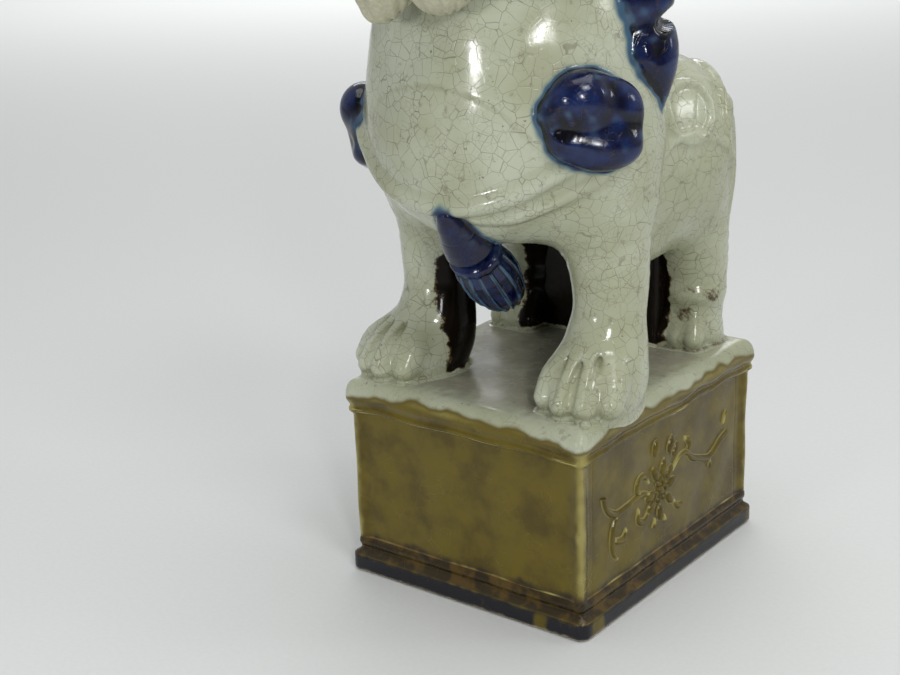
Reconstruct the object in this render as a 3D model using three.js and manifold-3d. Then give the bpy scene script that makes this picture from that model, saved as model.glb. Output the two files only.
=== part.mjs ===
// Guardian lion (foo dog) statue standing on a hollow box plinth, in crackle-glazed stoneware.
// The lion is put together the way such a figure is: body, head, legs and plinth are separate
// pressings, and the curls, tassel, strap, tail, teeth and eyes are sprigs luted onto them.
// Units are millimetres, +Z is up, the lion faces -Y and its left side is +X.
import * as THREE from 'three';
import { mergeVertices } from 'three/addons/utils/BufferGeometryUtils.js';
import Module from 'manifold-3d';

const wasm = await Module();
wasm.setup();

// ---------------------------------------------------------------- driving dimensions
const PLINTH_WIDTH = 110;
const PLINTH_DEPTH = 128.6;
const PLINTH_HEIGHT = 80;
const PLINTH_CORNER_RADIUS = 9;
const RIM_THICKNESS = 12;
const RIM_BEVEL = 3;
const FOOT_BAND_HEIGHT = 7.5;
const FOOT_HEIGHT = 14;
const FOOT_LEDGE_INSET = 2.6;
const PANEL_INSET = 3.4;
const WALL_THICKNESS = 7;
const CORNER_WIDTH = 11;
const LUTING_GAP = 0.3;

const BODY_WALL = 8;
const NECK_SEAM_Z = 233;
const CHEST = { at: [0, -24, 175], radii: [55, 49, 41] };
const BREAST = { at: [0, -50, 162], radii: [30, 21, 20] };
const BARREL = { at: [0, 8, 163], radii: [43, 52, 37] };
const RUMP = { at: [0, 32, 160], radii: [41, 30, 35] };
const NECK = { at: [0, -30, 213], radii: [50, 42, 42] };

// Each forefoot: where the leg stands, where the paw's middle is, and how far its toes turn out.
const LEFT_FOREFOOT = { leg: [39, -23], paw: [39, -33], turn: 0.17 };
const RIGHT_FOREFOOT = { leg: [-36, -26], paw: [-39.5, -36.5], turn: -0.26 };
const LEFT_HIND_FOOT = [33, 50];
const RIGHT_HIND_FOOT = [-37, 38];

const HEAD = { at: [0, -30, 271], radii: [43, 43, 43] };
const HEAD_BASE = { at: [0, -34, 249], radii: [46, 42, 34] };
const MUZZLE = { at: [0, -72, 262], radii: [27, 21, 13] };
const HEAD_WALL = 8;

// ---------------------------------------------------------------- glaze and clay colours
const GLAZES = {
  celadon: { color: 0xb1b59e, roughness: 0.16, metalness: 0 },
  cobalt: { color: 0x1b2c63, roughness: 0.16, metalness: 0 },
  ochre: { color: 0x6f6130, roughness: 0.2, metalness: 0 },
  foot: { color: 0x2b2a30, roughness: 0.35, metalness: 0 },
  relief: { color: 0xa9a36d, roughness: 0.2, metalness: 0 },
  bisque: { color: 0xa59e82, roughness: 0.6, metalness: 0 },
  tooth: { color: 0xd8d6c4, roughness: 0.2, metalness: 0 },
  tongue: { color: 0x6d3b26, roughness: 0.25, metalness: 0 },
  shadow: { color: 0x2a2118, roughness: 0.5, metalness: 0 },
};

// ---------------------------------------------------------------- solids from geometry
function toSolid(geometry) {
  const bare = geometry.index ? geometry : mergeVertices(geometry);
  bare.deleteAttribute('normal');
  bare.deleteAttribute('uv');
  const merged = mergeVertices(bare, 1e-4);
  const vertProperties = new Float32Array(merged.attributes.position.array);
  const triVerts = new Uint32Array(merged.index.array);
  if (signedVolume(vertProperties, triVerts) < 0) {
    flipTriangles(triVerts);
  }
  return new wasm.Manifold(new wasm.Mesh({ numProp: 3, vertProperties, triVerts }));
}

function signedVolume(points, triangles) {
  const a = new THREE.Vector3();
  const b = new THREE.Vector3();
  const c = new THREE.Vector3();
  let volume = 0;
  for (let i = 0; i < triangles.length; i += 3) {
    a.fromArray(points, triangles[i] * 3);
    b.fromArray(points, triangles[i + 1] * 3);
    c.fromArray(points, triangles[i + 2] * 3);
    volume += a.dot(b.cross(c)) / 6;
  }
  return volume;
}

function flipTriangles(triangles) {
  for (let i = 0; i < triangles.length; i += 3) {
    const second = triangles[i + 1];
    triangles[i + 1] = triangles[i + 2];
    triangles[i + 2] = second;
  }
}

function toGeometry(solid) {
  const mesh = solid.getMesh();
  const geometry = new THREE.BufferGeometry();
  geometry.setAttribute('position', new THREE.BufferAttribute(mesh.vertProperties, mesh.numProp));
  geometry.setIndex(new THREE.BufferAttribute(mesh.triVerts, 1));
  geometry.computeVertexNormals();
  return geometry;
}

const joinAll = (solids) => solids.reduce((whole, solid) => whole.add(solid));

// An ellipsoid; local Z points along `out` when it is given.
function ellipsoid(at, radii, { grow = 0, out = null, around = 12, along = 7 } = {}) {
  const geometry = new THREE.SphereGeometry(1, around, along);
  geometry.rotateX(Math.PI / 2);
  geometry.scale(radii[0] + grow, radii[1] + grow, radii[2] + grow);
  if (out) {
    const turn = new THREE.Quaternion();
    turn.setFromUnitVectors(new THREE.Vector3(0, 0, 1), new THREE.Vector3(...out).normalize());
    geometry.applyQuaternion(turn);
  }
  geometry.translate(...at);
  return toSolid(geometry);
}

function box(low, high) {
  const size = high.map((value, i) => value - low[i]);
  const geometry = new THREE.BoxGeometry(...size);
  geometry.translate(...low.map((value, i) => value + size[i] / 2));
  return toSolid(geometry);
}

// A turned column about a vertical axis, from [radius, height] points closed on the axis.
function turned(profile, [x, y], { grow = 0, around = 10 } = {}) {
  const points = profile.map(([radius, z]) => new THREE.Vector2(radius > 0 ? radius + grow : 0, z));
  const geometry = new THREE.LatheGeometry(points, around);
  geometry.rotateX(Math.PI / 2);
  geometry.translate(x, y, 0);
  return toSolid(geometry);
}

// A tapered rod along a smooth curve: the rings of a cylinder moved onto the curve.
function sweep(points, radii, { grow = 0, sides = 8, steps = 10, flat = 1 } = {}) {
  const curve = new THREE.CatmullRomCurve3(points.map((point) => new THREE.Vector3(...point)));
  const frames = curve.computeFrenetFrames(steps);
  const geometry = new THREE.CylinderGeometry(1, 1, 1, sides, steps);
  const position = geometry.attributes.position;
  for (let i = 0; i < position.count; i += 1) {
    const share = 0.5 - position.getY(i);
    const ring = Math.round(share * steps);
    const radius = radiusAt(radii, share) + grow;
    const place = curve.getPointAt(share);
    place.addScaledVector(frames.normals[ring], position.getX(i) * radius);
    place.addScaledVector(frames.binormals[ring], position.getZ(i) * radius * flat);
    position.setXYZ(i, place.x, place.y, place.z);
  }
  return toSolid(geometry);
}

function radiusAt(radii, share) {
  const place = share * (radii.length - 1);
  const low = Math.min(Math.floor(place), radii.length - 2);
  return THREE.MathUtils.lerp(radii[low], radii[low + 1], place - low);
}

// ---------------------------------------------------------------- placing parts
const statue = new THREE.Group();
const placed = [];

function boxesMeet(a, b) {
  return a.min.every((low, i) => low < b.max[i]) && b.min.every((low, i) => low < a.max[i]);
}

// Adds a part. Where it would sink into a part placed before, it is cut back to leave the gap.
// `shape(grow)` gives the part's solid with every surface moved out by `grow`.
function place(name, glaze, shape) {
  let solid = shape(0);
  for (const earlier of placed) {
    if (boxesMeet(solid.boundingBox(), earlier.boundingBox())) {
      solid = solid.subtract(earlier);
    }
  }
  placed.push(shape(LUTING_GAP));
  addMesh(name, glaze, solid);
}

function addMesh(name, glaze, solid) {
  const mesh = new THREE.Mesh(toGeometry(solid), new THREE.MeshStandardMaterial(GLAZES[glaze]));
  mesh.name = name;
  statue.add(mesh);
}

// ---------------------------------------------------------------- plinth
function roundedRectangle(width, depth, radius) {
  const shape = new THREE.Shape();
  const x = width / 2;
  const y = depth / 2;
  shape.moveTo(-x + radius, -y);
  shape.lineTo(x - radius, -y);
  shape.absarc(x - radius, -y + radius, radius, -Math.PI / 2, 0);
  shape.lineTo(x, y - radius);
  shape.absarc(x - radius, y - radius, radius, 0, Math.PI / 2);
  shape.lineTo(-x + radius, y);
  shape.absarc(-x + radius, y - radius, radius, Math.PI / 2, Math.PI);
  shape.lineTo(-x, -y + radius);
  shape.absarc(-x + radius, -y + radius, radius, Math.PI, Math.PI * 1.5);
  return shape;
}

function plate(inset, zLow, zHigh, bevel = 0) {
  const radius = PLINTH_CORNER_RADIUS - Math.min(inset + bevel, PLINTH_CORNER_RADIUS - 2);
  const shrink = 2 * (inset + bevel);
  const outline = roundedRectangle(PLINTH_WIDTH - shrink, PLINTH_DEPTH - shrink, radius);
  const geometry = new THREE.ExtrudeGeometry(outline, {
    depth: zHigh - zLow - 2 * bevel,
    bevelEnabled: bevel > 0,
    bevelThickness: bevel,
    bevelSize: bevel,
    bevelSegments: 2,
    curveSegments: 4,
  });
  geometry.translate(0, 0, zLow + bevel);
  return toSolid(geometry);
}

const WALL_LOW_Z = FOOT_HEIGHT + LUTING_GAP;
const WALL_HIGH_Z = PLINTH_HEIGHT - RIM_THICKNESS - LUTING_GAP;
const HOLLOW_INSET = PANEL_INSET + WALL_THICKNESS;

function plinthSlab() {
  return plate(0, PLINTH_HEIGHT - RIM_THICKNESS, PLINTH_HEIGHT, RIM_BEVEL);
}

function plinthFoot() {
  const band = plate(0, 0, FOOT_BAND_HEIGHT);
  const ledge = plate(FOOT_LEDGE_INSET, FOOT_BAND_HEIGHT - 1, FOOT_HEIGHT);
  return band.add(ledge).subtract(plate(HOLLOW_INSET, -1, FOOT_HEIGHT + 1));
}

function plinthWall(low, high) {
  const ring = plate(PANEL_INSET, WALL_LOW_Z, WALL_HIGH_Z);
  const hollow = plate(HOLLOW_INSET, WALL_LOW_Z - 1, WALL_HIGH_Z + 1);
  return ring.subtract(hollow).intersect(box([...low, 0], [...high, PLINTH_HEIGHT]));
}

function placePlinth() {
  const x = PLINTH_WIDTH / 2;
  const y = PLINTH_DEPTH / 2;
  const joint = y - CORNER_WIDTH;
  placed.push(box([-x - 20, -y - 20, 0], [x + 20, y + 20, PLINTH_HEIGHT + LUTING_GAP]));
  addMesh('plinth_top_slab', 'celadon', plinthSlab());
  addMesh('plinth_foot', 'foot', plinthFoot());
  addMesh('plinth_front_wall', 'ochre', plinthWall([-x, -y], [x, -joint]));
  addMesh('plinth_back_wall', 'ochre', plinthWall([-x, joint], [x, y]));
  addMesh('plinth_left_wall', 'ochre', plinthWall([0, -joint + LUTING_GAP], [x, joint - LUTING_GAP]));
  addMesh('plinth_right_wall', 'ochre', plinthWall([-x, -joint + LUTING_GAP], [0, joint - LUTING_GAP]));
}

// ---------------------------------------------------------------- flower relief on the side walls
const RELIEF_HEIGHT = 1.6;
const FLOWER_AT = [-8, 42];
const PETAL_COUNT = 6;
const PETAL_REACH = 5;
const VINE_RADIUS = 1.3;

// Wall coordinates: u runs from the plinth's front to its back, v runs up.
function onWall(side, [u, v], proud = 0) {
  const face = PLINTH_WIDTH / 2 - PANEL_INSET + LUTING_GAP;
  return [side * (face + proud), u, v];
}

function wallFace(side) {
  const face = PLINTH_WIDTH / 2 - PANEL_INSET + LUTING_GAP;
  const inner = side * (face - 10);
  const outer = side * face;
  return box([Math.min(inner, outer), -80, 0], [Math.max(inner, outer), 80, PLINTH_HEIGHT]);
}

function flower(side) {
  const radii = [RELIEF_HEIGHT, 3.4, 3.4];
  const pieces = [ellipsoid(onWall(side, FLOWER_AT), radii, { around: 8, along: 4 })];
  for (let i = 0; i < PETAL_COUNT; i += 1) {
    const angle = (i / PETAL_COUNT) * Math.PI * 2 + 0.3;
    const at = [FLOWER_AT[0] + PETAL_REACH * Math.cos(angle), FLOWER_AT[1] + PETAL_REACH * Math.sin(angle)];
    pieces.push(ellipsoid(onWall(side, at), [RELIEF_HEIGHT, 2.6, 2.6], { around: 6, along: 4 }));
  }
  return joinAll(pieces).subtract(wallFace(side));
}

function vine(side, route) {
  const points = route.map((at) => onWall(side, at));
  const radii = [0.8, VINE_RADIUS, VINE_RADIUS, 0.8];
  return sweep(points, radii, { sides: 6, steps: 12 }).subtract(wallFace(side));
}

const BACK_VINE = [[8, 47], [14, 45], [21, 46], [30, 55], [34, 61], [32, 64], [28, 61]];
const FRONT_VINE = [[-20, 34], [-27, 31], [-33, 36], [-37, 34], [-36, 27], [-32, 25]];

function placeRelief(name, side) {
  addMesh(`${name}_wall_flower`, 'relief', flower(side));
  addMesh(`${name}_wall_back_vine`, 'relief', vine(side, BACK_VINE));
  addMesh(`${name}_wall_front_vine`, 'relief', vine(side, FRONT_VINE));
}

// ---------------------------------------------------------------- body
const BODY_MASSES = [CHEST, BREAST, BARREL, RUMP, NECK];

function bodyMass(grow) {
  const fine = { grow, around: 16, along: 9 };
  const above = box([-80, -100, NECK_SEAM_Z + grow], [80, 100, 400]);
  return joinAll(BODY_MASSES.map(({ at, radii }) => ellipsoid(at, radii, fine))).subtract(above);
}

function bodyHollow() {
  const coarse = { grow: -BODY_WALL, around: 10, along: 6 };
  return joinAll([CHEST, BARREL, NECK].map(({ at, radii }) => ellipsoid(at, radii, coarse)));
}

function placeBody() {
  const torso = bodyMass(0).subtract(bodyHollow());
  placed.push(bodyMass(LUTING_GAP));
  addMesh('torso', 'celadon', torso);
}

function foreleg({ leg, paw, turn }, grow) {
  const side = Math.sign(leg[0]);
  const column = [[0, 80], [14.5, 80], [14.2, 95], [13.8, 104], [14, 116], [15, 130], [18, 148], [0, 156]];
  const pieces = [
    turned(column, leg, { grow }),
    ellipsoid([side * 35, -27, 171], [24.5, 26, 34], { grow }),
    ellipsoid([...paw, 84], [16.5, 19, 14], { grow }),
  ];
  for (const [aside, reach] of [[-10, 14.5], [-3.5, 18], [3.5, 18], [10, 14.5]]) {
    const x = paw[0] + aside * Math.cos(turn) + reach * Math.sin(turn);
    const y = paw[1] + aside * Math.sin(turn) - reach * Math.cos(turn);
    pieces.push(ellipsoid([x, y, 84], [5, 7, 8], { grow, around: 8, along: 5 }));
  }
  return joinAll(pieces);
}

function hindLeg([x, y], grow) {
  const side = Math.sign(x);
  const column = [[0, 80], [13, 80], [12, 92], [12.6, 104], [15, 118], [18, 138], [0, 150]];
  return joinAll([
    turned(column, [x, y], { grow }),
    ellipsoid([side * 28, 29, 161], [27, 32, 36], { grow }),
    ellipsoid([x * 0.93, y - 6, 138], [19, 19, 26], { grow }),
    ellipsoid([x, y - 6, 83], [15, 19, 11], { grow, around: 12, along: 7 }),
  ]);
}

function placeLegs() {
  place('left_foreleg', 'celadon', (grow) => foreleg(LEFT_FOREFOOT, grow));
  place('right_foreleg', 'celadon', (grow) => foreleg(RIGHT_FOREFOOT, grow));
  place('left_hind_leg', 'celadon', (grow) => hindLeg(LEFT_HIND_FOOT, grow));
  place('right_hind_leg', 'celadon', (grow) => hindLeg(RIGHT_HIND_FOOT, grow));
  place('rear_web', 'shadow', (grow) => box([-26 - grow, 32 - grow, 80], [24 + grow, 44 + grow, 132]));
}

// ---------------------------------------------------------------- strap, tassel and tail
function chestStrap(grow) {
  const left = [[-53, -42, 180], [-38, -58, 167], [-16, -69.5, 157], [0, -71.5, 155]];
  const right = [[16, -69.5, 157], [38, -58, 166], [53, -42, 179]];
  return sweep([...left, ...right], [2, 3, 3, 2], { grow, steps: 14, sides: 6 });
}

function tasselKnot(grow) {
  return ellipsoid([0, -69, 149], [6, 5.5, 6.5], { grow, around: 10, along: 7 });
}

function tasselCap(grow) {
  const points = [[0, -68, 146], [0, -63, 139], [0.5, -58, 132]];
  return sweep(points, [4, 8.5, 8], { grow, sides: 12, steps: 4 });
}

function tasselSkirt(grow) {
  const points = [[1, -56.5, 130], [2, -50, 124], [3, -43, 116], [4, -37, 110]];
  return sweep(points, [7, 11.5, 11.5, 6], { grow, sides: 14, steps: 5 });
}

function tailStrand(side, grow) {
  const points = [[8, 60, 178], [26, 52, 190], [42, 42, 188], [52, 36, 172], [55, 36, 154]];
  const route = points.map(([x, y, z]) => [side * x, y, z]);
  return sweep(route, [5, 6, 6.5, 5.5, 3], { grow, steps: 10 });
}

function tailPlume(grow) {
  const points = [[0, 60, 146], [0, 67, 166], [0, 64, 188], [0, 52, 204], [0, 38, 208]];
  return sweep(points, [5, 10, 11, 9, 4], { grow, sides: 10, steps: 8, flat: 0.8 });
}

function placeTrim() {
  place('chest_strap', 'celadon', chestStrap);
  place('tassel_knot', 'cobalt', tasselKnot);
  place('tassel_cap', 'cobalt', tasselCap);
  place('tassel_skirt', 'cobalt', tasselSkirt);
  place('tail_plume', 'cobalt', tailPlume);
  place('tail_left_strand', 'celadon', (grow) => tailStrand(1, grow));
  place('tail_right_strand', 'celadon', (grow) => tailStrand(-1, grow));
}

// ---------------------------------------------------------------- head
function headMass(grow) {
  const below = box([-80, -120, 100], [80, 60, NECK_SEAM_Z + LUTING_GAP]);
  const pieces = [HEAD, HEAD_BASE, MUZZLE].map(({ at, radii }) => ellipsoid(at, radii, { grow }));
  for (const side of [-1, 1]) {
    pieces.push(ellipsoid([side * 33, -50, 259], [14, 19, 15], { grow, around: 10, along: 6 }));
  }
  return joinAll(pieces).subtract(below);
}

function placeHeadShell() {
  const hollow = [HEAD, HEAD_BASE].map(({ at, radii }) => {
    return ellipsoid(at, radii, { grow: -HEAD_WALL, around: 10, along: 6 });
  });
  placed.push(headMass(LUTING_GAP));
  addMesh('head_shell', 'celadon', headMass(0).subtract(joinAll(hollow)));
}

function lowerJaw(grow) {
  return ellipsoid([0, -67, 235], [26, 24, 8.5], { grow, around: 16, along: 8 });
}

function tongue(grow) {
  return ellipsoid([0, -77, 244], [11, 14, 3.2], { grow, around: 12, along: 7 });
}

// A row of teeth on a curved gum. `down` is -1 for the upper row, whose fangs are the outermost
// teeth, and 1 for the lower row, which is one tooth shorter at each end so that the fangs cross.
const TOOTH_PITCH = 0.32;
const UPPER_ROW = { wide: 21, deep: 16, y: -73, z: 252, last: 3, down: -1 };
const LOWER_ROW = { wide: 19.5, deep: 17, y: -70, z: 242, last: 2, down: 1 };

function teeth(row, grow) {
  const spot = (angle, lift) => {
    return [row.wide * Math.sin(angle), row.y - row.deep * Math.cos(angle), row.z + lift];
  };
  const end = row.last * TOOTH_PITCH + 0.2;
  const gum = [-end, -end / 2, 0, end / 2, end].map((angle) => spot(angle, 0));
  const pieces = [sweep(gum, [1.6, 1.8, 1.6], { grow, sides: 5, steps: 6 })];
  for (let i = -row.last; i <= row.last; i += 1) {
    const fang = Math.abs(i) === row.last;
    const size = fang ? [2.3, 2.3, 4] : [2.3, 1.7, 2.2];
    const lift = row.down * (fang ? 2 : 1);
    pieces.push(ellipsoid(spot(i * TOOTH_PITCH, lift), size, { grow, around: 6, along: 4 }));
  }
  return joinAll(pieces);
}

function nose(grow) {
  const small = { grow, around: 8, along: 6 };
  return joinAll([
    ellipsoid([0, -90, 275], [8, 8, 8], small),
    ellipsoid([-9, -88, 272], [6.5, 6.5, 5.5], small),
    ellipsoid([9, -88, 272], [6.5, 6.5, 5.5], small),
  ]);
}

function brow(side, grow) {
  const points = [[side * 7, -71, 297], [side * 20, -67, 304], [side * 34, -55, 302], [side * 41, -46, 294]];
  return sweep(points, [5, 7, 6.5, 4], { grow, steps: 7 });
}

function ear(side, grow) {
  const points = [[side * 34, -26, 294], [side * 44, -26, 300], [side * 50, -30, 297], [side * 52, -35, 288]];
  return sweep(points, [10, 9.5, 7, 2.5], { grow, steps: 6, flat: 0.6 });
}

function beardTuft(side, grow) {
  const points = [[side * 11, -78, 236], [side * 13, -83, 228], [side * 14, -83, 219]];
  return sweep(points, [10, 11, 5], { grow, sides: 10, steps: 5 });
}

function placeHead() {
  placeHeadShell();
  place('lower_jaw', 'celadon', lowerJaw);
  place('tongue', 'tongue', tongue);
  place('upper_teeth', 'tooth', (grow) => teeth(UPPER_ROW, grow));
  place('lower_teeth', 'tooth', (grow) => teeth(LOWER_ROW, grow));
  place('nose', 'celadon', nose);
  for (const [name, side] of [['left', 1], ['right', -1]]) {
    place(`${name}_eye`, 'tooth', (grow) => ellipsoid([side * 19, -66, 286], [10.5, 10.5, 10.5], { grow }));
    place(`${name}_brow`, 'cobalt', (grow) => brow(side, grow));
    place(`${name}_ear`, 'celadon', (grow) => ear(side, grow));
    place(`${name}_beard_tuft`, 'bisque', (grow) => beardTuft(side, grow));
  }
}

// ---------------------------------------------------------------- mane curls
// Each curl is a flattened lump facing `out`; radii are half width, half length and half height.
const PAIRED_CURLS = [
  { name: 'neck_curl', at: [44, -8, 204], out: [1, 0.25, 0.25], radii: [15, 22, 9] },
  { name: 'cheek_curl', at: [41, -48, 244], out: [1, -0.5, -0.1], radii: [13, 13, 9] },
  { name: 'temple_curl', at: [41, -20, 268], out: [1, 0.2, 0.1], radii: [14, 14, 10] },
  { name: 'jaw_curl', at: [43, -20, 238], out: [1, 0.1, 0], radii: [15, 14, 10] },
  { name: 'nape_curl', at: [27, 8, 248], out: [0.6, 1, 0.1], radii: [15, 16, 10] },
  { name: 'scruff_curl', at: [22, 15, 218], out: [0.5, 1, 0.3], radii: [15, 15, 10] },
  { name: 'crown_curl', at: [17, -6, 308], out: [0.4, 0.3, 1], radii: [14, 14, 9] },
];
const LEFT_SHOULDER_CURL = { at: [46, -44, 186], out: [0.75, -0.65, 0.15], radii: [20, 20, 10] };
const RIGHT_SHOULDER_CURL = { at: [-56, -38, 174], out: [-1, -0.45, 0.1], radii: [19, 18, 11] };
const SINGLE_CURLS = [
  { name: 'forelock', at: [0, -44, 314], out: [0, -0.5, 1], radii: [11, 13, 10] },
  { name: 'back_head_curl', at: [0, 12, 278], out: [0, 1, 0.3], radii: [15, 15, 10] },
];

function curl({ at, out, radii }, side = 1) {
  const place3 = [at[0] * side, at[1], at[2]];
  const facing = [out[0] * side, out[1], out[2]];
  return (grow) => ellipsoid(place3, radii, { grow, out: facing, around: 10, along: 6 });
}

function placeMane() {
  place('left_shoulder_curl', 'cobalt', curl(LEFT_SHOULDER_CURL));
  place('right_shoulder_curl', 'cobalt', curl(RIGHT_SHOULDER_CURL));
  for (const entry of PAIRED_CURLS) {
    place(`left_${entry.name}`, 'cobalt', curl(entry));
    place(`right_${entry.name}`, 'cobalt', curl(entry, -1));
  }
  for (const entry of SINGLE_CURLS) {
    place(entry.name, 'cobalt', curl(entry));
  }
}

// ---------------------------------------------------------------- assembly
placePlinth();
placeRelief('left', 1);
placeRelief('right', -1);
placeBody();
placeLegs();
placeTrim();
placeHead();
placeMane();

// The origin is the bottom centre of the whole figure.
const extent = new THREE.Box3().setFromObject(statue);
const centre = extent.getCenter(new THREE.Vector3());
statue.position.set(-centre.x, -centre.y, -extent.min.z);
statue.updateMatrixWorld(true);

export default statue;
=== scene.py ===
import math

import bpy
import numpy as np
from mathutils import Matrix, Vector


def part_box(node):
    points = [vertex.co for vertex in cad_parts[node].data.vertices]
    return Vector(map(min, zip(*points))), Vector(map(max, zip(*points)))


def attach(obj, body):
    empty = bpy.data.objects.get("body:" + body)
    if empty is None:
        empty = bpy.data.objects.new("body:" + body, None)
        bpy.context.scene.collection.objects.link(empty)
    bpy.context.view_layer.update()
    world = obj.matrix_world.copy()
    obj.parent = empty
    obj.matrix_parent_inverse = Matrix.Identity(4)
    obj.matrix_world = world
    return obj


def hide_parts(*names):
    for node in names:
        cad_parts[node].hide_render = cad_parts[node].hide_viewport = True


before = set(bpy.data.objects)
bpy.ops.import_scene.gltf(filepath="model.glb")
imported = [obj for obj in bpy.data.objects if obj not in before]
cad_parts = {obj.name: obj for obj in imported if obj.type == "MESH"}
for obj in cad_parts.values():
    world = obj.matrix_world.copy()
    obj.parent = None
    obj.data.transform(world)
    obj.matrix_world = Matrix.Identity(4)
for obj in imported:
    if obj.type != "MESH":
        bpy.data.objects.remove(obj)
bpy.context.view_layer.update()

import openvdb
from mathutils import Matrix

# A glazed guardian lion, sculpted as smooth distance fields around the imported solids.
# Lengths here are millimetres from the bottom centre of the plinth, with the lion facing -Y,
# its left side at +X and +Z up. to_metres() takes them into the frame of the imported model.
MM = 0.001
FOOT_LOW, FOOT_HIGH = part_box("plinth_foot")
SLAB_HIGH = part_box("plinth_top_slab")[1]
ORIGIN = np.array([(FOOT_LOW.x + FOOT_HIGH.x) / 2, (FOOT_LOW.y + FOOT_HIGH.y) / 2, FOOT_LOW.z])
HALF_WIDTH = (FOOT_HIGH.x - FOOT_LOW.x) / 2 / MM
HALF_DEPTH = (FOOT_HIGH.y - FOOT_LOW.y) / 2 / MM
PLINTH_TOP = (SLAB_HIGH.z - FOOT_LOW.z) / MM
SIDES = {"left": 1, "right": -1}


def to_metres(points):
    return ORIGIN + np.asarray(points, float) * MM


def node_box(node):
    """The lowest and highest corner of a CAD node, in millimetres from the plinth's bottom centre."""
    low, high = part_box(node)
    return (np.array(low) - ORIGIN) / MM, (np.array(high) - ORIGIN) / MM


# ------------------------------------------------------------------ camera
VIEW_AZIMUTH = math.radians(38.17)
VIEW_ELEVATION = math.radians(18.04)
VIEW_ROLL = math.radians(-1.89)
VIEW_DISTANCE = 638.9
VIEW_ASIDE = -40.8
VIEW_UP = 85.0
LENS = 62.71


def make_camera():
    back = np.array([
        math.sin(VIEW_AZIMUTH) * math.cos(VIEW_ELEVATION),
        -math.cos(VIEW_AZIMUTH) * math.cos(VIEW_ELEVATION),
        math.sin(VIEW_ELEVATION),
    ])
    level = np.array([math.cos(VIEW_AZIMUTH), math.sin(VIEW_AZIMUTH), 0.0])
    up = np.cross(back, level)
    place = to_metres(level * VIEW_ASIDE + up * VIEW_UP + back * VIEW_DISTANCE)
    right = math.cos(VIEW_ROLL) * level + math.sin(VIEW_ROLL) * up
    top = math.cos(VIEW_ROLL) * up - math.sin(VIEW_ROLL) * level
    data = bpy.data.cameras.new("camera")
    data.lens = LENS
    data.sensor_width = 36
    data.clip_start = 0.01
    camera = bpy.data.objects.new("camera", data)
    turn = Matrix([right, top, back]).transposed()
    camera.matrix_world = Matrix.Translation(place) @ turn.to_4x4()
    bpy.context.scene.collection.objects.link(camera)
    bpy.context.scene.camera = camera


make_camera()


# ------------------------------------------------------------------ distance fields
NEAR = 12.0


def lengths(vectors):
    return np.sqrt(np.einsum("ij,ij->i", vectors, vectors))


def smoothstep(low, high, value):
    share = np.clip((value - low) / (high - low), 0.0, 1.0)
    return share * share * (3 - 2 * share)


def blend(a, b, width):
    """The smooth union of two distances."""
    near = np.maximum(width - np.abs(a - b), 0.0) / width
    return np.minimum(a, b) - near * near * width * 0.25


def carve(a, b, width):
    """Distance a with the solid of distance b cut out of it, the edge rounded."""
    return -blend(-a, b, width)


class Shape:
    """A distance field that is worked out only near its own ball, and bounded below elsewhere."""

    def __init__(self, distance, centre, radius):
        self.distance = distance
        self.centre = np.array(centre, np.float32)
        self.radius = radius

    def __call__(self, points):
        result = lengths(points - self.centre) - self.radius
        near = result < NEAR
        if near.any():
            result[near] = self.distance(points[near])
        return result


def axes_from(out, up=(0, 0, 1)):
    """Columns across, along and out of a local frame whose third axis is `out`."""
    out = np.array(out, float) / np.linalg.norm(out)
    across = np.cross(up, out)
    across /= np.linalg.norm(across)
    along = np.cross(out, across)
    return np.stack([across, along, out], axis=1).astype(np.float32)


def ball(at, radii, axes=None):
    """An ellipsoid."""
    at = np.array(at, np.float32)
    radii = np.array(radii, np.float32)

    def distance(points):
        local = points - at
        if axes is not None:
            local = local @ axes
        near = lengths(local / radii)
        steep = lengths(local / (radii * radii))
        return near * (near - 1) / np.maximum(steep, 1e-6)

    return Shape(distance, at, float(radii.max()))


def smooth_path(points, radii, steps=5):
    """Catmull-Rom points and radii along a route given by a few points."""
    rows = np.column_stack([np.array(points, float), np.array(radii, float)])
    rows = np.vstack([2 * rows[0] - rows[1], rows, 2 * rows[-1] - rows[-2]])
    result = []
    for a, b, c, d in zip(rows, rows[1:], rows[2:], rows[3:]):
        for t in np.arange(steps) / steps:
            result.append(0.5 * (2 * b + (c - a) * t + (2 * a - 5 * b + 4 * c - d) * t ** 2
                                 + (3 * b - a - 3 * c + d) * t ** 3))
    result.append(rows[-2])
    result = np.array(result)
    return result[:, :3], np.maximum(result[:, 3], 0.1)


def rod(points, radii, steps=5):
    """A tapered round rod along a smooth route."""
    path, widths = smooth_path(points, radii, steps) if steps else (np.array(points, float), radii)
    path = path.astype(np.float32)
    centre = (path.min(0) + path.max(0)) / 2
    reach = float(max(np.linalg.norm(path - centre, axis=1) + widths))

    def distance(p):
        best = np.full(len(p), 1e6, np.float32)
        for a, b, wide_a, wide_b in zip(path, path[1:], widths, widths[1:]):
            along = b - a
            share = np.clip((p - a) @ along / max(along @ along, 1e-9), 0, 1)
            gap = lengths(p - a - share[:, None] * along) - (wide_a + (wide_b - wide_a) * share)
            np.minimum(best, gap, out=best)
        return best

    return Shape(distance, centre, reach)


def joined(shapes, width):
    """The smooth union of several shapes, as one shape."""
    low = np.min([s.centre - s.radius for s in shapes], axis=0)
    high = np.max([s.centre + s.radius for s in shapes], axis=0)
    centre = (low + high) / 2
    reach = max(float(np.linalg.norm(s.centre - centre)) + s.radius for s in shapes)

    def distance(points):
        whole = shapes[0](points)
        for shape in shapes[1:]:
            whole = blend(whole, shape(points), width)
        return whole

    return Shape(distance, centre, reach)


def grooved(shape, cuts, width):
    """A shape with other shapes pressed into it."""
    def distance(points):
        left = shape(points)
        for cut in cuts:
            left = carve(left, cut(points), width)
        return left

    return Shape(distance, shape.centre, shape.radius)


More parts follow.
